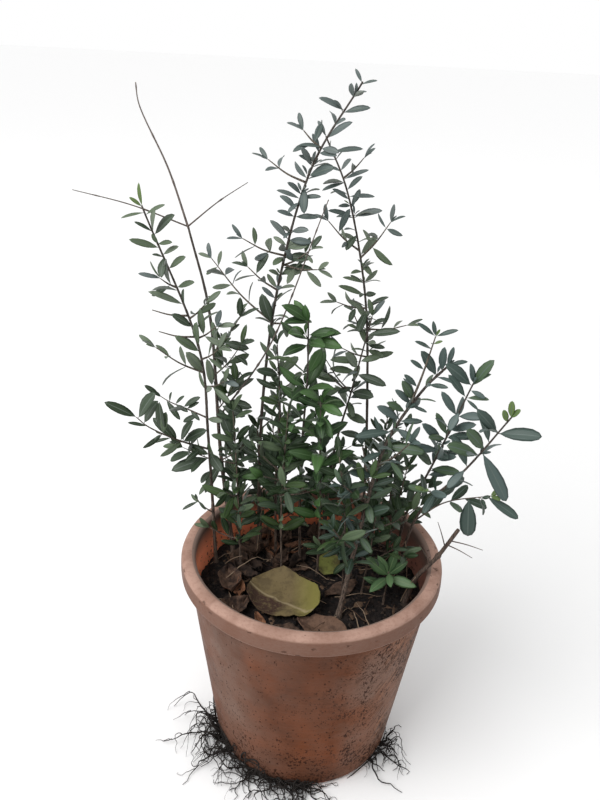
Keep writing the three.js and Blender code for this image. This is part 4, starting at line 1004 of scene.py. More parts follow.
                 (0.400, (0.034, -0.022, 0.397), 4), (0.412, (0.053, -0.018, 0.429), 3.2),
                 (0.385, (0.103, -0.028, 0.387), 3.4), (0.379, (0.042, -0.029, 0.373), 3.4))),
    dict(name="right_outer", seed=104, dia=0.0034, bare=0.330, finish="blue",
         leaf=0.029, gap=0.015, slender=3.6, twiggy=0.10, kept=0.6, finer_to=0.8,
         course=((0.099, 0.052, SOIL_TOP), (0.101, 0.030, 0.275), (0.118, 0.005, 0.355),
                 (0.137, -0.036, 0.466)),
         leaves=((0.458, (0.149, -0.041, 0.454), 3), (0.447, (0.145, -0.037, 0.440), 4.5),
                 (0.430, (0.122, -0.032, 0.414), 2.4), (0.462, (0.150, -0.045, 0.494), 3.4),
                 (0.463, (0.108, -0.043, 0.487), 3),
                 (0.385, (0.098, -0.020, 0.414), 4), (0.407, (0.131, -0.026, 0.423), 2.4),
                 (0.404, (0.147, -0.030, 0.421), 3.4), (0.393, (0.105, -0.024, 0.401), 3.2),
                 (0.394, (0.142, -0.028, 0.407), 3.6), (0.377, (0.088, -0.014, 0.382), 3.6),
                 (0.371, (0.127, -0.022, 0.378), 2.6), (0.363, (0.136, -0.016, 0.377), 3.4),
                 (0.355, (0.098, -0.012, 0.376), 2.8), (0.349, (0.142, -0.018, 0.360), 3.8))),
    dict(name="right_low", seed=118, dia=0.0036, bare=0.305, finish="blue",
         leaf=0.030, gap=0.021, slender=3.2, twiggy=0.04, own_tip=True, tender=3, outline="blunt",
         kept=0.45, finer_to=0.45,
         course=((0.101, 0.041, SOIL_TOP), (0.110, -0.002, 0.301), (0.143, -0.038, 0.378),
                 (0.166, -0.075, 0.453)),
         leaves=((0.452, (0.163, -0.078, 0.470), 3), (0.452, (0.171, -0.080, 0.463), 2.6),
                 (0.446, (0.158, -0.074, 0.459), 2.6),
                 (0.398, (0.117, -0.056, 0.411), 2.8), (0.430, (0.194, -0.080, 0.438)),
                 (0.403, (0.182, -0.054, 0.352), 4.4), (0.430, (0.136, -0.072, 0.456)),
                 (0.375, (0.125, -0.046, 0.359), 2.8), (0.407, (0.132, -0.060, 0.430), 2.6))),
    dict(name="right_lowest", seed=127, dia=0.0020, parent="right_low", height=0.286, finish="blue",
         leaf=0.024, gap=0.017, slender=2.6, twiggy=0, kept=0.5, passes=1, outline="blunt",
         course=((0.131, -0.020, 0.326), (0.168, -0.045, 0.352)),
         leaves=((0.341, (0.155, -0.036, 0.297)), (0.350, (0.196, -0.055, 0.334), 3.8))),
    dict(name="low_left", seed=133, dia=0.0024, parent="left", height=0.354, finish="grey",
         leaf=0.026, gap=0.016, slender=3.6, twiggy=0, kept=0.35, buds=0.1, passes=1, own_tip=True,
         course=((-0.138, -0.010, 0.376), (-0.162, -0.045, 0.409), (-0.169, -0.060, 0.426)),
         leaves=((0.426, (-0.196, -0.066, 0.443), 3.6), (0.410, (-0.180, -0.050, 0.415), 5),
                 (0.384, (-0.165, -0.023, 0.379), 5.5), (0.424, (-0.150, -0.066, 0.455), 2.8),
                 (0.415, (-0.150, -0.056, 0.442), 2.9), (0.391, (-0.153, -0.035, 0.430), 3.6),
                 (0.379, (-0.149, -0.020, 0.400), 3.6), (0.376, (-0.124, -0.019, 0.404), 3.4),
                 (0.374, (-0.111, -0.016, 0.393), 3), (0.368, (-0.119, -0.011, 0.385), 3),
                 (0.369, (-0.114, -0.010, 0.365), 3.2), (0.426, (-0.186, -0.058, 0.438), 5))),
    dict(name="low_left_back", seed=149, dia=0.0020, parent="left", height=0.393, finish="grey",
         leaf=0.024, gap=0.015, slender=3.4, twiggy=0, kept=0.35, buds=0.1, passes=1, own_tip=True,
         course=((-0.135, 0.016, 0.399), (-0.153, 0.020, 0.404), (-0.164, 0.020, 0.411)),
         leaves=((0.410, (-0.177, 0.016, 0.423), 3.6), (0.409, (-0.169, 0.014, 0.418), 3.4),
                 (0.404, (-0.150, 0.016, 0.417), 4), (0.402, (-0.137, 0.015, 0.414), 4),
                 (0.400, (-0.121, 0.014, 0.414), 3.6), (0.399, (-0.122, 0.012, 0.409), 3.4),
                 (0.402, (-0.133, 0.011, 0.398), 3.6), (0.406, (-0.141, 0.010, 0.389), 4.2),
                 (0.398, (-0.121, 0.009, 0.390), 3.4))),
    dict(name="sprig_1", seed=151, parent="leader", height=0.447, leaf=0.030,
         course=((-0.085, 0.045, 0.489),)),
    dict(name="sprig_2", seed=162, parent="leader", height=0.422, leaf=0.030,
         course=((-0.083, 0.038, 0.462),)),
    dict(name="sprig_3", seed=173, parent="leader", height=0.382, leaf=0.032,
         course=((-0.087, 0.033, 0.425),),
         leaves=((0.392, (-0.097, 0.030, 0.430), 2.9), (0.395, (-0.070, 0.028, 0.398), 3.2),
                 (0.384, (-0.097, 0.036, 0.378), 3), (0.386, (-0.089, 0.030, 0.357), 3.4))),
    dict(name="sprig_4", seed=184, parent="leader", height=0.322, leaf=0.026,
         course=((-0.072, 0.026, 0.362),),
         leaves=((0.324, (-0.120, 0.034, 0.288), 4), (0.326, (-0.083, 0.030, 0.308), 2.3),
                 (0.328, (-0.083, 0.028, 0.319), 2.8), (0.330, (-0.104, 0.030, 0.339), 2.4),
                 (0.345, (-0.076, 0.020, 0.340), 3))),
    dict(name="sprig_5", seed=195, parent="left", height=0.270, leaf=0.016, kept=0.15, passes=1, own_tip=True,
         course=((-0.125, 0.010, 0.295),),
         leaves=((0.292, (-0.140, 0.004, 0.285), 5), (0.294, (-0.126, 0.008, 0.303), 2.6),
                 (0.293, (-0.115, 0.006, 0.285), 4))),
    dict(name="low_1", seed=201, leaf=0.028, first_leaf=0.030,
         course=((-0.058, 0.072, SOIL_TOP), (-0.062, 0.068, 0.280), (-0.066, 0.064, 0.356))),
    dict(name="low_2", seed=212, leaf=0.028, first_leaf=0.036,
         course=((-0.078, 0.020, SOIL_TOP), (-0.082, 0.016, 0.300), (-0.088, 0.014, 0.400))),
    dict(name="low_3", seed=223, leaf=0.029, first_leaf=0.066,
         course=((-0.032, 0.010, SOIL_TOP), (-0.035, 0.002, 0.310), (-0.032, -0.004, 0.412))),
    dict(name="low_4", seed=234, leaf=0.027, first_leaf=0.034,
         course=((0.078, 0.022, SOIL_TOP), (0.086, 0.018, 0.270), (0.094, 0.014, 0.345))),
    dict(name="low_5", seed=245, leaf=0.028, first_leaf=0.040,
         course=((0.060, 0.042, SOIL_TOP), (0.067, 0.040, 0.300), (0.071, 0.038, 0.388))),
    dict(name="low_6", seed=256, leaf=0.027, first_leaf=0.044,
         course=((0.056, -0.014, SOIL_TOP), (0.060, -0.020, 0.260), (0.062, -0.028, 0.322))),
    dict(name="low_7", seed=267, leaf=0.029, first_leaf=0.060,
         course=((0.036, -0.008, SOIL_TOP), (0.031, -0.028, 0.300), (0.020, -0.034, 0.380))),
    dict(name="back_1", seed=278, leaf=0.024,
         course=((-0.036, 0.088, SOIL_TOP), (-0.044, 0.096, 0.280), (-0.052, 0.102, 0.352))),
    dict(name="back_2", seed=289, leaf=0.024,
         course=((0.016, 0.096, SOIL_TOP), (0.010, 0.104, 0.280), (0.000, 0.110, 0.346))),
    dict(name="back_3", seed=290, leaf=0.024,
         course=((0.082, 0.078, SOIL_TOP), (0.092, 0.086, 0.280), (0.100, 0.092, 0.350))),
    dict(name="sprout", seed=301, leaf=0.028, gap=0.012, slender=2.9, twiggy=0, finish="young",
         first_leaf=0.022, spread=76, buds=0, own_tip=True, passes=1, kept=0.3,
         course=((0.079, -0.027, SOIL_TOP), (0.080, -0.025, 0.215), (0.082, -0.022, 0.238)),
         leaves=((0.233, (0.055, -0.031, 0.262), 3.2), (0.236, (0.068, -0.025, 0.260), 3),
                 (0.235, (0.089, -0.017, 0.265), 3), (0.234, (0.100, -0.027, 0.256), 2.9),
                 (0.231, (0.111, -0.037, 0.231), 3), (0.231, (0.061, -0.045, 0.228), 2.6),
                 (0.236, (0.083, -0.042, 0.233), 2.2))),
)
LEADER = dict(name="leader", dia=0.0050, course=(
    (-0.088, 0.044, SOIL_TOP), (-0.104, 0.049, 0.330), (-0.117, 0.056, 0.491), (-0.137, 0.060, 0.572)))
COURSE_STEPS = 200
TIP_SHARE = 0.42
FLARE = {"share": 0.7, "height": 0.007}
STEM_STATION = 0.004
STEM_SIDES = 12
STEM_SUNK = 0.006
STEM_ROUGH = 0.10
NODE_GAP = 0.026
NODE_DRIFT = (0.02, 0.1)
NODE_SWELL = 0.16
NODE_LENGTH = 0.0016
SKIN_SCALE = (90, 90, 260)
SKIN_ROUND = 3
BARK_TINT = (0.060, 0.051, 0.043, 1)
BARK_DARK = (0.020, 0.015, 0.012, 1)
BARK_PALE = (0.140, 0.122, 0.100, 1)
BARK_LOW = (0.118, 0.084, 0.064, 1)


def passing(a, b, start, end, now):
    """Place on the way from a, at a start time, to b, at an end time."""
    return ((end - now) * a + (now - start) * b) / (end - start)


def smooth_course(bends):
    """Evenly spaced points along the smooth course through its bends."""
    bends = np.asarray(bends, float)
    knots = np.vstack([2 * bends[0] - bends[1], bends, 2 * bends[-1] - bends[-2]])
    times = np.append(0, np.cumsum(np.sqrt(np.linalg.norm(np.diff(knots, axis=0), axis=1))))
    stretches = []
    for first in range(len(bends) - 1):
        p, t = knots[first:first + 4], times[first:first + 4]
        now = np.linspace(t[1], t[2], COURSE_STEPS)[:, None]
        a, b, c = (passing(p[k], p[k + 1], t[k], t[k + 1], now) for k in range(3))
        a, b = passing(a, b, t[0], t[2], now), passing(b, c, t[1], t[3], now)
        stretches.append(passing(a, b, t[1], t[2], now))
    return part_of(np.vstack(stretches), 0, 1)


def length_of(course):
    """Length of a course."""
    return np.linalg.norm(np.diff(course, axis=0), axis=1).sum()


def reach_of(course):
    """Distance of each point of a course from its start, along it."""
    return np.append(0, np.cumsum(np.linalg.norm(np.diff(course, axis=0), axis=1)))


def part_of(course, start, end, steps=COURSE_STEPS):
    """Stretch of a course between two shares of its length, evenly spaced."""
    reach = reach_of(course)
    wanted = np.linspace(start, end, steps) * reach[-1]
    return np.column_stack([np.interp(wanted, reach, course[:, axis]) for axis in range(3)])


def taper(dia, shares, length=0):
    """Radii at shares of a tapering limb, flared above its foot where it stands on the soil."""
    flare = FLARE["share"] * np.exp(-shares * length / FLARE["height"]) if length else 0
    return dia / 2 * (1 - (1 - TIP_SHARE) * shares) * (1 + flare)


def knobbly(course, radii, sides, rough, node_gap, swelling=NODE_SWELL):
    """Radii all round a limb, raised and lowered by noise and swollen at its nodes."""
    reach = reach_of(course)
    nodes = np.arange(node_gap, reach[-1], node_gap)
    drift, most = NODE_DRIFT
    nodes = nodes * (1 + drift * np.arange(len(nodes)) % most)
    swell = np.zeros(len(reach))
    for node in nodes:
        swell += swelling * np.exp(-((reach - node) / NODE_LENGTH) ** 2)
    turns = 2 * np.pi * np.arange(sides) / sides
    round_it = [Vector((SKIN_ROUND * math.cos(t), SKIN_ROUND * math.sin(t), 0)) for t in turns]
    skin = [[noise.noise(Vector(point * SKIN_SCALE) + out) for out in round_it] for point in course]
    return radii[:, None] * (1 + swell[:, None] + rough * np.array(skin))


def bark_finish(name, tint, dark, pale, low):
    """Bark: streaks along the stem, browner low down, with pale flecks and a fine rough skin."""
    finish, shader, place = new_finish(name, tint, 0.85, gloss=0.3)
    grain = noise_of(shifted(place, scale=(900, 900, 120)), 1.0, 4.0, 0.6)
    skin = mix_colours(between(axes_of(place)["Z"], 0.44, 0.28), tint, low)
    colour = mix_colours(between(grain, 0.40, 0.58), dark, skin)
    feed(shader, "Base Color", coat(colour, pale, specks_of(place, 700.0, 0.35), 0.7))
    bump_of(shader, grain, 0.6, 0.0005)
    return finish


def sunk(course):
    """Course that begins a little below the soil's top."""
    return np.vstack([course[:1] - (0, 0, STEM_SUNK), course])


bark = bark_finish("bark_grey", BARK_TINT, BARK_DARK, BARK_PALE, BARK_LOW)
courses = {}
limbs = []
for shoot in [LEADER] + [shoot for shoot in SHOOTS if "bare" in shoot]:
    course = smooth_course(shoot["course"])
    courses[shoot["name"]] = course
    length = length_of(course)
    shares = np.linspace(0, 1, int(length / STEM_STATION))
    line = part_of(course, 0, 1, len(shares))
    plain = taper(shoot["dia"], shares, length)
    radii = knobbly(line, plain, STEM_SIDES, STEM_ROUGH, NODE_GAP)
    store = new_store()
    put(store, *limb(sunk(line), np.vstack([radii[:1], radii]), STEM_SIDES), 0)
    stem = join_store("stem_" + shoot["name"] + "_bark", store, [bark])
    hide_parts("stem_" + shoot["name"])
    limbs.append((shoot["name"], line, plain))

# Dead wood: the leader's bare crown, a long dead twig that crosses the clump, and a cut stub with fine
# twigs that leans over the rim. Grey and dry, with a swelling at each node.
CROWN = dict(dia=0.0024, twigs=((0.574, (-0.237, 0.025, 0.611)), (0.574, (-0.084, 0.106, 0.610))),
             course=((-0.137, 0.060, 0.572), (-0.157, 0.070, 0.626), (-0.185, 0.081, 0.682),
                     (-0.188, 0.085, 0.700)))
DEAD_TWIG = dict(dia=0.0022, parent="leader", height=0.372,
                 course=((-0.055, 0.020, 0.467), (-0.006, -0.050, 0.629)))
STUB = dict(dia=0.0048, cut_share=0.3, twig_dia=0.0014,
            course=((0.102, -0.024, SOIL_TOP), (0.110, -0.032, 0.240), (0.126, -0.040, 0.272),
                    (0.141, -0.050, 0.314)),
            twigs=((0.298, (0.165, -0.062, 0.300)), (0.292, (0.156, -0.062, 0.290)),
                   (0.288, (0.120, -0.050, 0.322)), (0.262, (0.106, -0.046, 0.290))))
BARE_SWEEP = -0.03
TWIG_SWEEP = 0.06
SIDE_TWIG_BASE = 0.0009
SIDE_TWIG_SHARE = 0.36
DEAD_NODE_GAP = 0.044
DEAD_NODE_SWELL = 0.55
DEAD_ROUGH = 0.05
STUB_ROUGH = 0.14
TWIG_STATION = 0.004
TWIG_SIDES = 7
DEAD_TINT = (0.115, 0.094, 0.082, 1)
DEAD_DARK = (0.050, 0.039, 0.034, 1)
DEAD_PALE = (0.20, 0.175, 0.155, 1)
STUB_TINT = (0.080, 0.055, 0.042, 1)
STUB_DARK = (0.026, 0.018, 0.014, 1)
STUB_PALE = (0.16, 0.12, 0.095, 1)


def at_share(course, share):
    """Point and direction at a share of an evenly spaced course."""
    place = share * (len(course) - 1)
    first = min(int(place), len(course) - 2)
    step = course[first + 1] - course[first]
    return course[first] + step * (place - first), unit(step)


def share_at(course, height):
    """Share of a rising course's length at which it reaches a height."""
    return float(np.interp(height, course[:, 2], np.linspace(0, 1, len(course))))


def point_at(course, height):
    """Point of a rising course at a height."""
    return at_share(course, share_at(course, height))[0]


def side_dia(dia):
    """Diameter of the side twigs of a limb."""
    return SIDE_TWIG_BASE + SIDE_TWIG_SHARE * dia


def twig_course(root, tip, sweep=TWIG_SWEEP):
    """Course of a side twig from its root to its tip, with an upward sweep."""
    root, tip = np.asarray(root, float), np.asarray(tip, float)
    middle = (root + tip) / 2 - (0, 0, np.linalg.norm(tip - root) * sweep)
    return smooth_course((root, middle, tip))


def bare_limb(store, course, dia, cut_share=1, length=0, sides=TWIG_SIDES, rough=DEAD_ROUGH):
    """Adds a bare limb with nodes to a store; one that has a length flares at the soil."""
    shares = np.linspace(0, 1, max(6, int(length_of(course) / TWIG_STATION)))
    line = part_of(course, 0, 1, len(shares))
    plain = taper(dia, shares * cut_share, length)
    radii = knobbly(line, plain, sides, rough, DEAD_NODE_GAP, DEAD_NODE_SWELL)
    put(store, *limb(line, radii, sides), 0)


def bare_twigs(store, course, twigs, dia):
    """Adds the bare side twigs of a limb to a store, each with its root's height and its tip."""
    for height, tip in twigs:
        bare_limb(store, twig_course(point_at(course, height), tip, BARE_SWEEP), dia)


deadwood = bark_finish("deadwood_grey", DEAD_TINT, DEAD_DARK, DEAD_PALE, DEAD_TINT)
dead_bark = bark_finish("stub_bark", STUB_TINT, STUB_DARK, STUB_PALE, STUB_TINT)
store = new_store()
course = smooth_course(CROWN["course"])
bare_limb(store, course, CROWN["dia"])
bare_twigs(store, course, CROWN["twigs"], side_dia(CROWN["dia"]))
crown = join_store("leader_crown_twigs", store, [deadwood])
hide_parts("mass_leader_crown")

store = new_store()
root = point_at(courses[DEAD_TWIG["parent"]], DEAD_TWIG["height"])
course = smooth_course((root, *DEAD_TWIG["course"]))
bare_limb(store, course, DEAD_TWIG["dia"])
limbs.append(("dead_twig", course, taper(DEAD_TWIG["dia"], np.linspace(0, 1, len(course)))))
dead_twig = join_store("dead_twig_wood", store, [deadwood])
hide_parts("twig_dead")

store = new_store()
course = smooth_course(STUB["course"])
bare_limb(store, sunk(course), STUB["dia"], STUB["cut_share"], length_of(course), STEM_SIDES, STUB_ROUGH)
bare_twigs(store, course, STUB["twigs"], STUB["twig_dia"])
limbs.append(("stub", course, taper(STUB["dia"], np.linspace(0, STUB["cut_share"], len(course)))))
stub = join_store("stub_wood", store, [dead_bark])
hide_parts("stem_stub")

# Leafy shoots: each mass grows from its stem by one seeded rule, opposite pairs of leathery leaves a
# quarter turn apart, side twigs in place of some leaves, young pairs at the tips and in the axils.
SPRIG = dict(dia=0.0018, gap=0.014, slender=3.4, twiggy=0, kept=0.75, finish="grey")
LOW_SHOOT = dict(dia=0.0026, gap=0.013, slender=3.2, twiggy=0.17, finish="grey", first_leaf=0.022)
PASSES = 2
LEAF_SPREAD = 58
FIRST_LEAF = 0.009
LEAF_KEPT = (0.94, 0.86)
LIGHT = np.array((-0.25, -0.60, 0.70))
SHOOTWARD = 0.5
FINER_SEED = 1000
FINER_LEAF = 0.85
FINER_TO = 0.85
SIDE_TWIG_BARE = 0.35
TWIG_REACH = 1.2
SEEDS = 1e6
UNEVEN = {"gap": 0.3, "turn": 0.6, "spread": 26, "roll": 1.9, "length": 0.4, "twist": 0.9}
ARCH_RANGE = (0.3, 1.6)
WIDTH_RANGE = (0.85, 0.3)
YOUNG_FROM = 0.75
YOUNG_SHARE = 0.35
END_LEAF_SHARE = 0.75
END_LEAF_SPREAD = math.radians(28)
BUD_SHARE = 0.24
BUD_LEAF = 0.38
BUD_RANGE = (0.7, 0.6)
BUD_STALK = 0.35
BUD_LEAN = 1.5
BUD_RADII = np.array((0.0007, 0.0004))
BUD_SPREAD = math.radians(34)
BUD_YOUNG = 0.08
LEAF_THICKNESS = 0.0006
LEAF_FOLD = 0.24
FOLD_EASE = 0.25
LEAF_ARCH = 0.05
ARCH_SKEW = 1.3
TIP_DROOP = 0.5
LEAF_ROOM = 0.0024
LIMB_ROOM = 0.0012
POT_ROOM = 0.002
BAND_ROOM = 0.004
FAR_OFF = 9.0
ROOM_SHARES = (0.35, 0.55, 0.78, 1.0)
TINT_STEPS = (977, 131)
PLACED_BEND = 0.3
PLACED_LOT = 0.45
PLACED_STEP = 0.05
PLACED_TURNS = 5
LEAF_COLUMNS = (-1, -0.52, -0.07, 0.07, 0.52, 1)
LEAF_OUTLINES = {
    "grey": ((0.08, 0.09), (0.20, 0.50), (0.37, 0.87), (0.54, 1.0), (0.74, 0.90), (0.91, 0.54)),
    "vivid": ((0.07, 0.09), (0.19, 0.50), (0.36, 0.88), (0.54, 1.0), (0.74, 0.84), (0.90, 0.44)),
    "blue": ((0.09, 0.08), (0.21, 0.46), (0.38, 0.86), (0.56, 1.0), (0.76, 0.88), (0.92, 0.52)),
    "young": ((0.07, 0.09), (0.18, 0.52), (0.34, 0.92), (0.54, 1.0), (0.74, 0.78), (0.90, 0.38)),
    "blunt": ((0.08, 0.11), (0.20, 0.51), (0.39, 0.89), (0.59, 1.0), (0.79, 0.90), (0.94, 0.52)),
}
LEAF_TINTS = {
    "grey": ((0.066, 0.086, 0.083), (0.088, 0.106, 0.102), (0.050, 0.069, 0.064), (0.032, 0.050, 0.029),
             (0.015, 0.029, 0.011), (0.034, 0.060, 0.020), (0.094, 0.120, 0.080), (0.064, 0.092, 0.050)),
    "vivid": ((0.021, 0.050, 0.013), (0.028, 0.066, 0.017), (0.041, 0.090, 0.025), (0.013, 0.032, 0.009)),
    "blue": ((0.050, 0.076, 0.070), (0.066, 0.094, 0.088), (0.036, 0.058, 0.049), (0.050, 0.082, 0.044),
             (0.022, 0.040, 0.024)),
    "young": ((0.066, 0.125, 0.052), (0.050, 0.100, 0.040), (0.084, 0.150, 0.066), (0.042, 0.084, 0.034)),
}
# The low deal gives the grey leaves of the low shoots the darkest tints. This is partly a deeper green of
# their own and partly painted shade under the crown. The shade deal darkens the blue leaves below
# SHADE_HEIGHT as painted shade.
TINT_DEALS = {"tall": (0, 1, 2, 0), "mid": (6, 7, 0, 6, 3, 7), "low": (3, 4, 4, 5, 3, 4, 7),
              "crown": (0, 1, 2, 3), "shade": (2, 4, 3, 4)}
SHADE_HEIGHT = 0.35
MIXED_HEIGHT = 0.57
YOUNG_TINT = (0.078, 0.125, 0.032)
TENDER_SIZE = 0.72
TENDER = {"blue": 0.30}
RIB_TINTS = {"grey": (0.078, 0.098, 0.080), "grey_low": (0.050, 0.072, 0.042), "vivid": (0.048, 0.090, 0.034),
             "blue": (0.070, 0.096, 0.084), "young": (0.115, 0.175, 0.078)}
UNDER_TINTS = {"grey": (0.130, 0.146, 0.128), "grey_low": (0.070, 0.088, 0.060),
               "vivid": (0.060, 0.092, 0.044), "blue": (0.110, 0.134, 0.120), "young": (0.120, 0.170, 0.090)}
LEAF_SHEEN = {"grey": 0.32, "grey_low": 0.16, "vivid": 0.24, "blue": 0.30, "young": 0.30}
LEAF_ROUGHNESS = {"blade": 0.45, "rib": 0.5, "under": 0.65}
GLOSS_GRAIN = 0.1
TWIG_TINT = (0.105, 0.088, 0.066, 1)


def draws(seed):
    """Repeatable numbers between 0 and 1."""
    while True:
        seed = seed * 16807 % 2147483647
        yield seed / 2147483647


def leaf_faces(rows):
    """Faces of a closed leaf of some rows, and the part that each belongs to: blade, rib or underside."""
    columns = len(LEAF_COLUMNS)
    stride = columns + 1
    tip = 1 + rows * stride
    faces = []
    parts = []
    for column in range(columns - 1):
        part = 1 if column == columns // 2 - 1 else 0
        first = 1 + column
        last = first + (rows - 1) * stride
        faces += [(0, first, first + 1), (last, tip, last + 1)]
        faces += [(i, i + stride, i + stride + 1, i + 1) for i in range(first, last, stride)]
        parts += [1] + [part] * rows
    for left, right in ((0, columns), (columns, columns - 1)):
        a, b = 1 + left, 1 + right
        end = (rows - 1) * stride
        faces += [(0, b, a), (b + end, tip, a + end)]
        faces += [(i + a, i + b, i + b + stride, i + a + stride) for i in range(0, end, stride)]
        parts += [2] * (rows + 1)
    return faces, parts


def leaf_corners(outline, root, aim, face, length, width, arch, twist):
    """Corners of a leaf at a place: folded along its rib, arched along its length and a little twisted."""
    side = np.cross(face, aim)
    corners = [root]
    for along, wide in outline:
        half = width / 2 * wide
        lift = arch * length * math.sin(math.pi * along ** ARCH_SKEW) - TIP_DROOP * arch * length * along ** 2
        turn = twist * along
        across = side * math.cos(turn) + face * math.sin(turn)
        over = face * math.cos(turn) - side * math.sin(turn)
        middle = root + aim * along * length + face * lift
        for column in LEAF_COLUMNS:
            rise = LEAF_FOLD * half * (abs(column) - FOLD_EASE * column * column)
            corners.append(middle + across * half * column + over * rise)
        corners.append(middle - over * LEAF_THICKNESS)
    corners.append(root + aim * length - face * TIP_DROOP * arch * length)
    return np.array(corners)


LEAF_FACES, LEAF_PARTS = leaf_faces(len(LEAF_OUTLINES["grey"]))
leaf_stores = {bunch: new_store() for bunch in (*LEAF_TINTS, "grey_low")}
twig_store = new_store()
leaf_points = [np.full((1, 3), FAR_OFF)]


def outward(along, turn, spread):
    """Direction that leaves a shoot at a spread from its own, turned round it."""
    reference = (0, 0, 1) if abs(along[2]) < 0.9 else (1, 0, 0)
    first = unit(np.cross(reference, along))
    second = np.cross(along, first)
    out = first * math.cos(turn) + second * math.sin(turn)
    return along * math.cos(spread) + out * math.sin(spread)


def upper_side(aim, along, roll):
    """Upper side of a leaf: square to its aim, turned to the shoot's tip and the light, with a roll."""
    face = SHOOTWARD * np.asarray(along) + LIGHT
    face = unit(face - aim * face.dot(aim))
    return face * math.cos(roll) + np.cross(aim, face) * math.sin(roll)


def clear_of_pot(points):
    """Whether points are above the soil and clear of the pot's wall and rim."""
    radius = np.linalg.norm(points[:, :2], axis=1)
    height = points[:, 2]
    walled = wall_radius(height) - WALL_THICKNESS - POT_ROOM
    hollow = np.where(height > band_foot - BAND_ROOM, RIM_INNER_RADIUS - POT_ROOM, walled)
    inside_wall = (height < POT_HEIGHT + POT_ROOM) & (radius > hollow)
    return np.all(height > SOIL_TOP + POT_ROOM) and not np.any(inside_wall)


def has_room(points, owner):
    """Whether a leaf's middle line is clear of the soil, the pot, the limbs and the other leaves."""
    if not clear_of_pot(points):
        return False
    for name, line, radii in limbs:
        if name != owner:
            apart = np.linalg.norm(points[:, None] - line[None], axis=2) - radii
            if apart.min() < LIMB_ROOM:
                return False
    others = np.concatenate(leaf_points)
    return np.linalg.norm(points[:, None] - others[None], axis=2).min() > LEAF_ROOM


def bunch_of(shoot):
    """Name of the joined piece that a shoot's leaves go to."""
    return "grey_low" if shoot["finish"] == "grey" and "first_leaf" in shoot else shoot["finish"]


def deal_of(shoot, height):
    """Numbers of the tints that a shoot's leaves are dealt at a height."""
    # Lower leaves are dealt darker tints: painted shade under the crown, and for the grey ones partly a
    # deeper green of their own.
    if shoot["finish"] == "grey":
        mixed = shoot.get("deal") == "tall" and height < MIXED_HEIGHT
        return TINT_DEALS["mid" if mixed else shoot.get("deal", "low")]
    if shoot["finish"] == "blue":
        return TINT_DEALS["shade" if height < SHADE_HEIGHT else "crown"]
    return range(len(LEAF_TINTS[shoot["finish"]]))


def varied(limits, lot):
    """Value that starts at the first of two limits and grows by a drawn share of the second."""
    return limits[0] + limits[1] * lot


def add_leaf(shoot, root, aim, face, length, lots, young=False, slender=None):
    """Leaf at a place, if there is room for it. lots are the draws that vary its bend and tint."""
    points = root + np.outer(ROOM_SHARES, aim) * length
    if not has_room(points, shoot["name"]):
        return
    leaf_points.append(points)
    first, second = lots
    finish = shoot["finish"]
    arch = LEAF_ARCH * shoot.get("droop", 1) * varied(ARCH_RANGE, first)
    twist = UNEVEN["twist"] * (second - 0.5)
    width = length / (slender or shoot["slender"]) * varied(WIDTH_RANGE, second)
    outline = LEAF_OUTLINES[shoot.get("outline", finish)]
    corners = leaf_corners(outline, root, aim, face, length, width, arch, twist)
    deal = deal_of(shoot, root[2])
    dealt = deal[int(first * TINT_STEPS[0] + second * TINT_STEPS[1]) % len(deal)]
    tip_skin = len(LEAF_TINTS[finish])
    skins = (tip_skin if young else dealt, tip_skin + 1, tip_skin + 2)
    put(leaf_stores[bunch_of(shoot)], corners, LEAF_FACES, [skins[part] for part in LEAF_PARTS])


def add_leaf_to(shoot, root, tip, lot, young, slender=None):
    """Leaf from a root to the tip that it is given."""
    aim = unit(tip - root)
    face = upper_side(aim, aim, 0)
    lots = (PLACED_BEND, lot)
    add_leaf(shoot, root, aim, face, np.linalg.norm(tip - root), lots, young, slender)


def add_twig(course, radii):
    """Twig along a course, with its radii at even shares."""
    steps = max(5, int(length_of(course) / TWIG_STATION))
    line = part_of(course, 0, 1, steps)
    thick = np.interp(np.linspace(0, 1, steps), np.linspace(0, 1, len(radii)), radii)
    put(twig_store, *limb(line, thick, TWIG_SIDES), 0)


def add_side_twig(shoot, root, tip):
    """Side twig from a point on a shoot to its tip."""
    twig = twig_course(root, tip)
    add_twig(twig, taper(side_dia(shoot["dia"]), np.linspace(0, 1, 9)))
    return twig


def add_bud(shoot, root, aim, along, lot):
    """Small pair of young leaves in the axil of a leaf."""
    stem = unit(aim + BUD_LEAN * along)
    size = BUD_LEAF * shoot["leaf"] * varied(BUD_RANGE, lot)
    top = root + stem * BUD_STALK * size
    add_twig(smooth_course((root, (root + top) / 2, top)), BUD_RADII)
    for half in (0, math.pi):
        bud_aim = outward(stem, 2 * math.pi * lot + half, BUD_SPREAD)
        face = upper_side(bud_aim, stem, 0)
        add_leaf(shoot, top, bud_aim, face, size, (lot, 0.5), young=lot < BUD_YOUNG)


def grow_twig(shoot, course, lot):
    """Leaves of a side twig, from draws of its own."""
    first_leaf = length_of(course) * SIDE_TWIG_BARE
    grow(shoot, course, first_leaf, draws(1 + math.floor(lot * SEEDS)), 1)


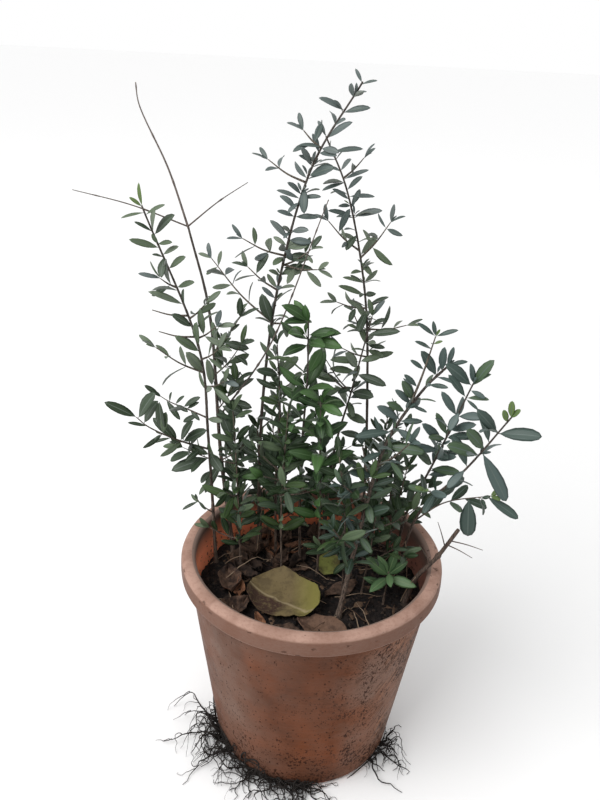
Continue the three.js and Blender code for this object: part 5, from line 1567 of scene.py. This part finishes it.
def grow(shoot, course, first_leaf, draw, depth, until=1, end_pair=True):
    """Leaves along a course, in opposite pairs; on a main shoot a side twig takes the place of some."""
    leaf, gap = shoot["leaf"], shoot["gap"]
    length = length_of(course)
    twig_share = shoot["twiggy"] if depth == 0 else 0
    kept = shoot.get("kept", LEAF_KEPT[0]) if depth == 0 else LEAF_KEPT[1]
    turn = next(draw) * math.pi
    reach = first_leaf
    while reach < until * length - gap / 2:
        share = reach / length
        root, along = at_share(course, share)
        young = 1 - YOUNG_SHARE * max(0, share - YOUNG_FROM) / (1 - YOUNG_FROM)
        turn += math.pi / 2 + UNEVEN["turn"] * (next(draw) - 0.5)
        for half in (0, math.pi):
            lot, wide, long, roll = (next(draw) for _ in range(4))
            spread = math.radians(shoot.get("spread", LEAF_SPREAD) + UNEVEN["spread"] * (wide - 0.5))
            aim = outward(along, turn + half, spread)
            if lot < twig_share and share < YOUNG_FROM:
                tip = root + aim * leaf * (TWIG_REACH + long)
                if clear_of_pot(np.array((root, (root + tip) / 2, tip))):
                    grow_twig(shoot, add_side_twig(shoot, root, tip), long)
            elif lot < twig_share + kept:
                face = upper_side(aim, along, UNEVEN["roll"] * (roll - 0.5))
                size = leaf * young * (1 + UNEVEN["length"] * (long - 0.5))
                add_leaf(shoot, root, aim, face, size, (wide, roll))
                if depth == 0 and roll < shoot.get("buds", BUD_SHARE):
                    add_bud(shoot, root, aim, along, long)
        reach += gap * (1 + UNEVEN["gap"] * (next(draw) - 0.5))
    if not end_pair:
        return
    root, along = at_share(course, 1)
    tender = next(draw) < TENDER.get(shoot["finish"], 0)
    end_leaf = leaf * (TENDER_SIZE if tender else 1) * END_LEAF_SHARE
    for half in (0, math.pi):
        lots = (next(draw), next(draw))
        aim = outward(along, turn + half, END_LEAF_SPREAD)
        add_leaf(shoot, root, aim, upper_side(aim, along, 0), end_leaf, lots, tender)
        aim = outward(along, turn + half + math.pi / 2, END_LEAF_SPREAD / 2)
        add_leaf(shoot, root, aim, upper_side(aim, along, 0), end_leaf / 2, lots, tender)


plans = []
for shoot in SHOOTS:
    name = shoot["name"]
    first_leaf = FIRST_LEAF
    if "bare" in shoot:
        course = part_of(courses[name], share_at(courses[name], shoot["bare"]), 1)
    elif "parent" in shoot:
        shoot = {**SPRIG, **shoot}
        root = point_at(courses[shoot["parent"]], shoot["height"])
        bends = shoot["course"]
        course = smooth_course((root, *bends)) if len(bends) > 1 else twig_course(root, bends[0])
        add_twig(course, taper(shoot["dia"], np.linspace(0, 1, 9)))
    else:
        shoot = {**LOW_SHOOT, **shoot}
        course = smooth_course(shoot["course"])
        first_leaf = shoot["first_leaf"]
        add_twig(sunk(course), taper(shoot["dia"], np.linspace(0, 1, 40), length_of(course)))
    if "bare" not in shoot:
        limbs.append((name, course[::5], taper(shoot["dia"], np.linspace(0, 1, len(course[::5])))))
    plans.append((shoot, course, first_leaf))

# Growing: the leaves with places of their own come first, then those that follow the rule, then a second
# pass of smaller ones between them
for shoot, course, first_leaf in plans:
    draw = draws(shoot["seed"])
    twigs = []
    for height, tip, *own in shoot.get("twigs", ()):
        lot = next(draw)
        twig = add_side_twig(shoot, point_at(course, height), tip)
        if own:
            for share, end, slender, young in own[0]:
                add_leaf_to(shoot, at_share(twig, share)[0], end, 0.5, young, slender)
        else:
            twigs.append((twig, lot))
    whole = courses.get(shoot["name"], course)
    for number, (height, tip, *slender) in enumerate(shoot.get("leaves", ())):
        young = number < shoot.get("tender", 0)
        lot = PLACED_LOT + PLACED_STEP * (number % PLACED_TURNS)
        add_leaf_to(shoot, point_at(whole, height), tip, lot, young, *slender)
    for twig, lot in twigs:
        grow_twig(shoot, twig, lot)
    grow(shoot, course, first_leaf, draw, 0, end_pair=not shoot.get("own_tip", False))
for shoot, course, first_leaf in plans:
    passes = shoot.get("passes", PASSES)
    for finer in range(1, passes):
        finer_shoot = {**shoot, "leaf": FINER_LEAF * shoot["leaf"]}
        start = first_leaf + shoot["gap"] * finer / passes
        draw = draws(shoot["seed"] + finer * FINER_SEED)
        grow(finer_shoot, course, start, draw, 0, shoot.get("finer_to", FINER_TO), end_pair=False)


def leaf_finish(name, tint, roughness, sheen):
    """Leathery leaf skin: a plain tint, with a fine grain in its gloss and relief."""
    finish, shader, place = new_finish(name, tint, roughness, gloss=sheen)
    grain = noise_of(place, 900.0, 3.0, 0.6)
    limits = {"Value": grain, "To Min": roughness - GLOSS_GRAIN, "To Max": roughness + GLOSS_GRAIN}
    feed(shader, "Roughness", add_node(place.id_data, "ShaderNodeMapRange", limits).outputs["Result"])
    bump_of(shader, grain, 0.25, 0.0003)
    return finish


twig_finish = bark_finish("twig_skin", TWIG_TINT, BARK_DARK, BARK_PALE, BARK_LOW)
twigs = join_store("twigs", twig_store, [twig_finish])
for bunch, store in leaf_stores.items():
    finish = bunch.split("_")[0]
    parts = {str(number + 1): tint for number, tint in enumerate(LEAF_TINTS[finish])}
    parts.update(tip=YOUNG_TINT, rib=RIB_TINTS[bunch], under=UNDER_TINTS[bunch])
    skins = []
    for part, tint in parts.items():
        roughness = LEAF_ROUGHNESS.get(part, LEAF_ROUGHNESS["blade"])
        skins.append(leaf_finish(f"leaf_{bunch}_{part}", tint, roughness, LEAF_SHEEN[bunch]))
    leaves = join_store(f"leaves_{bunch}", store, skins)
    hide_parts(*[f"mass_{shoot['name']}" for shoot, _, _ in plans if bunch_of(shoot) == bunch])
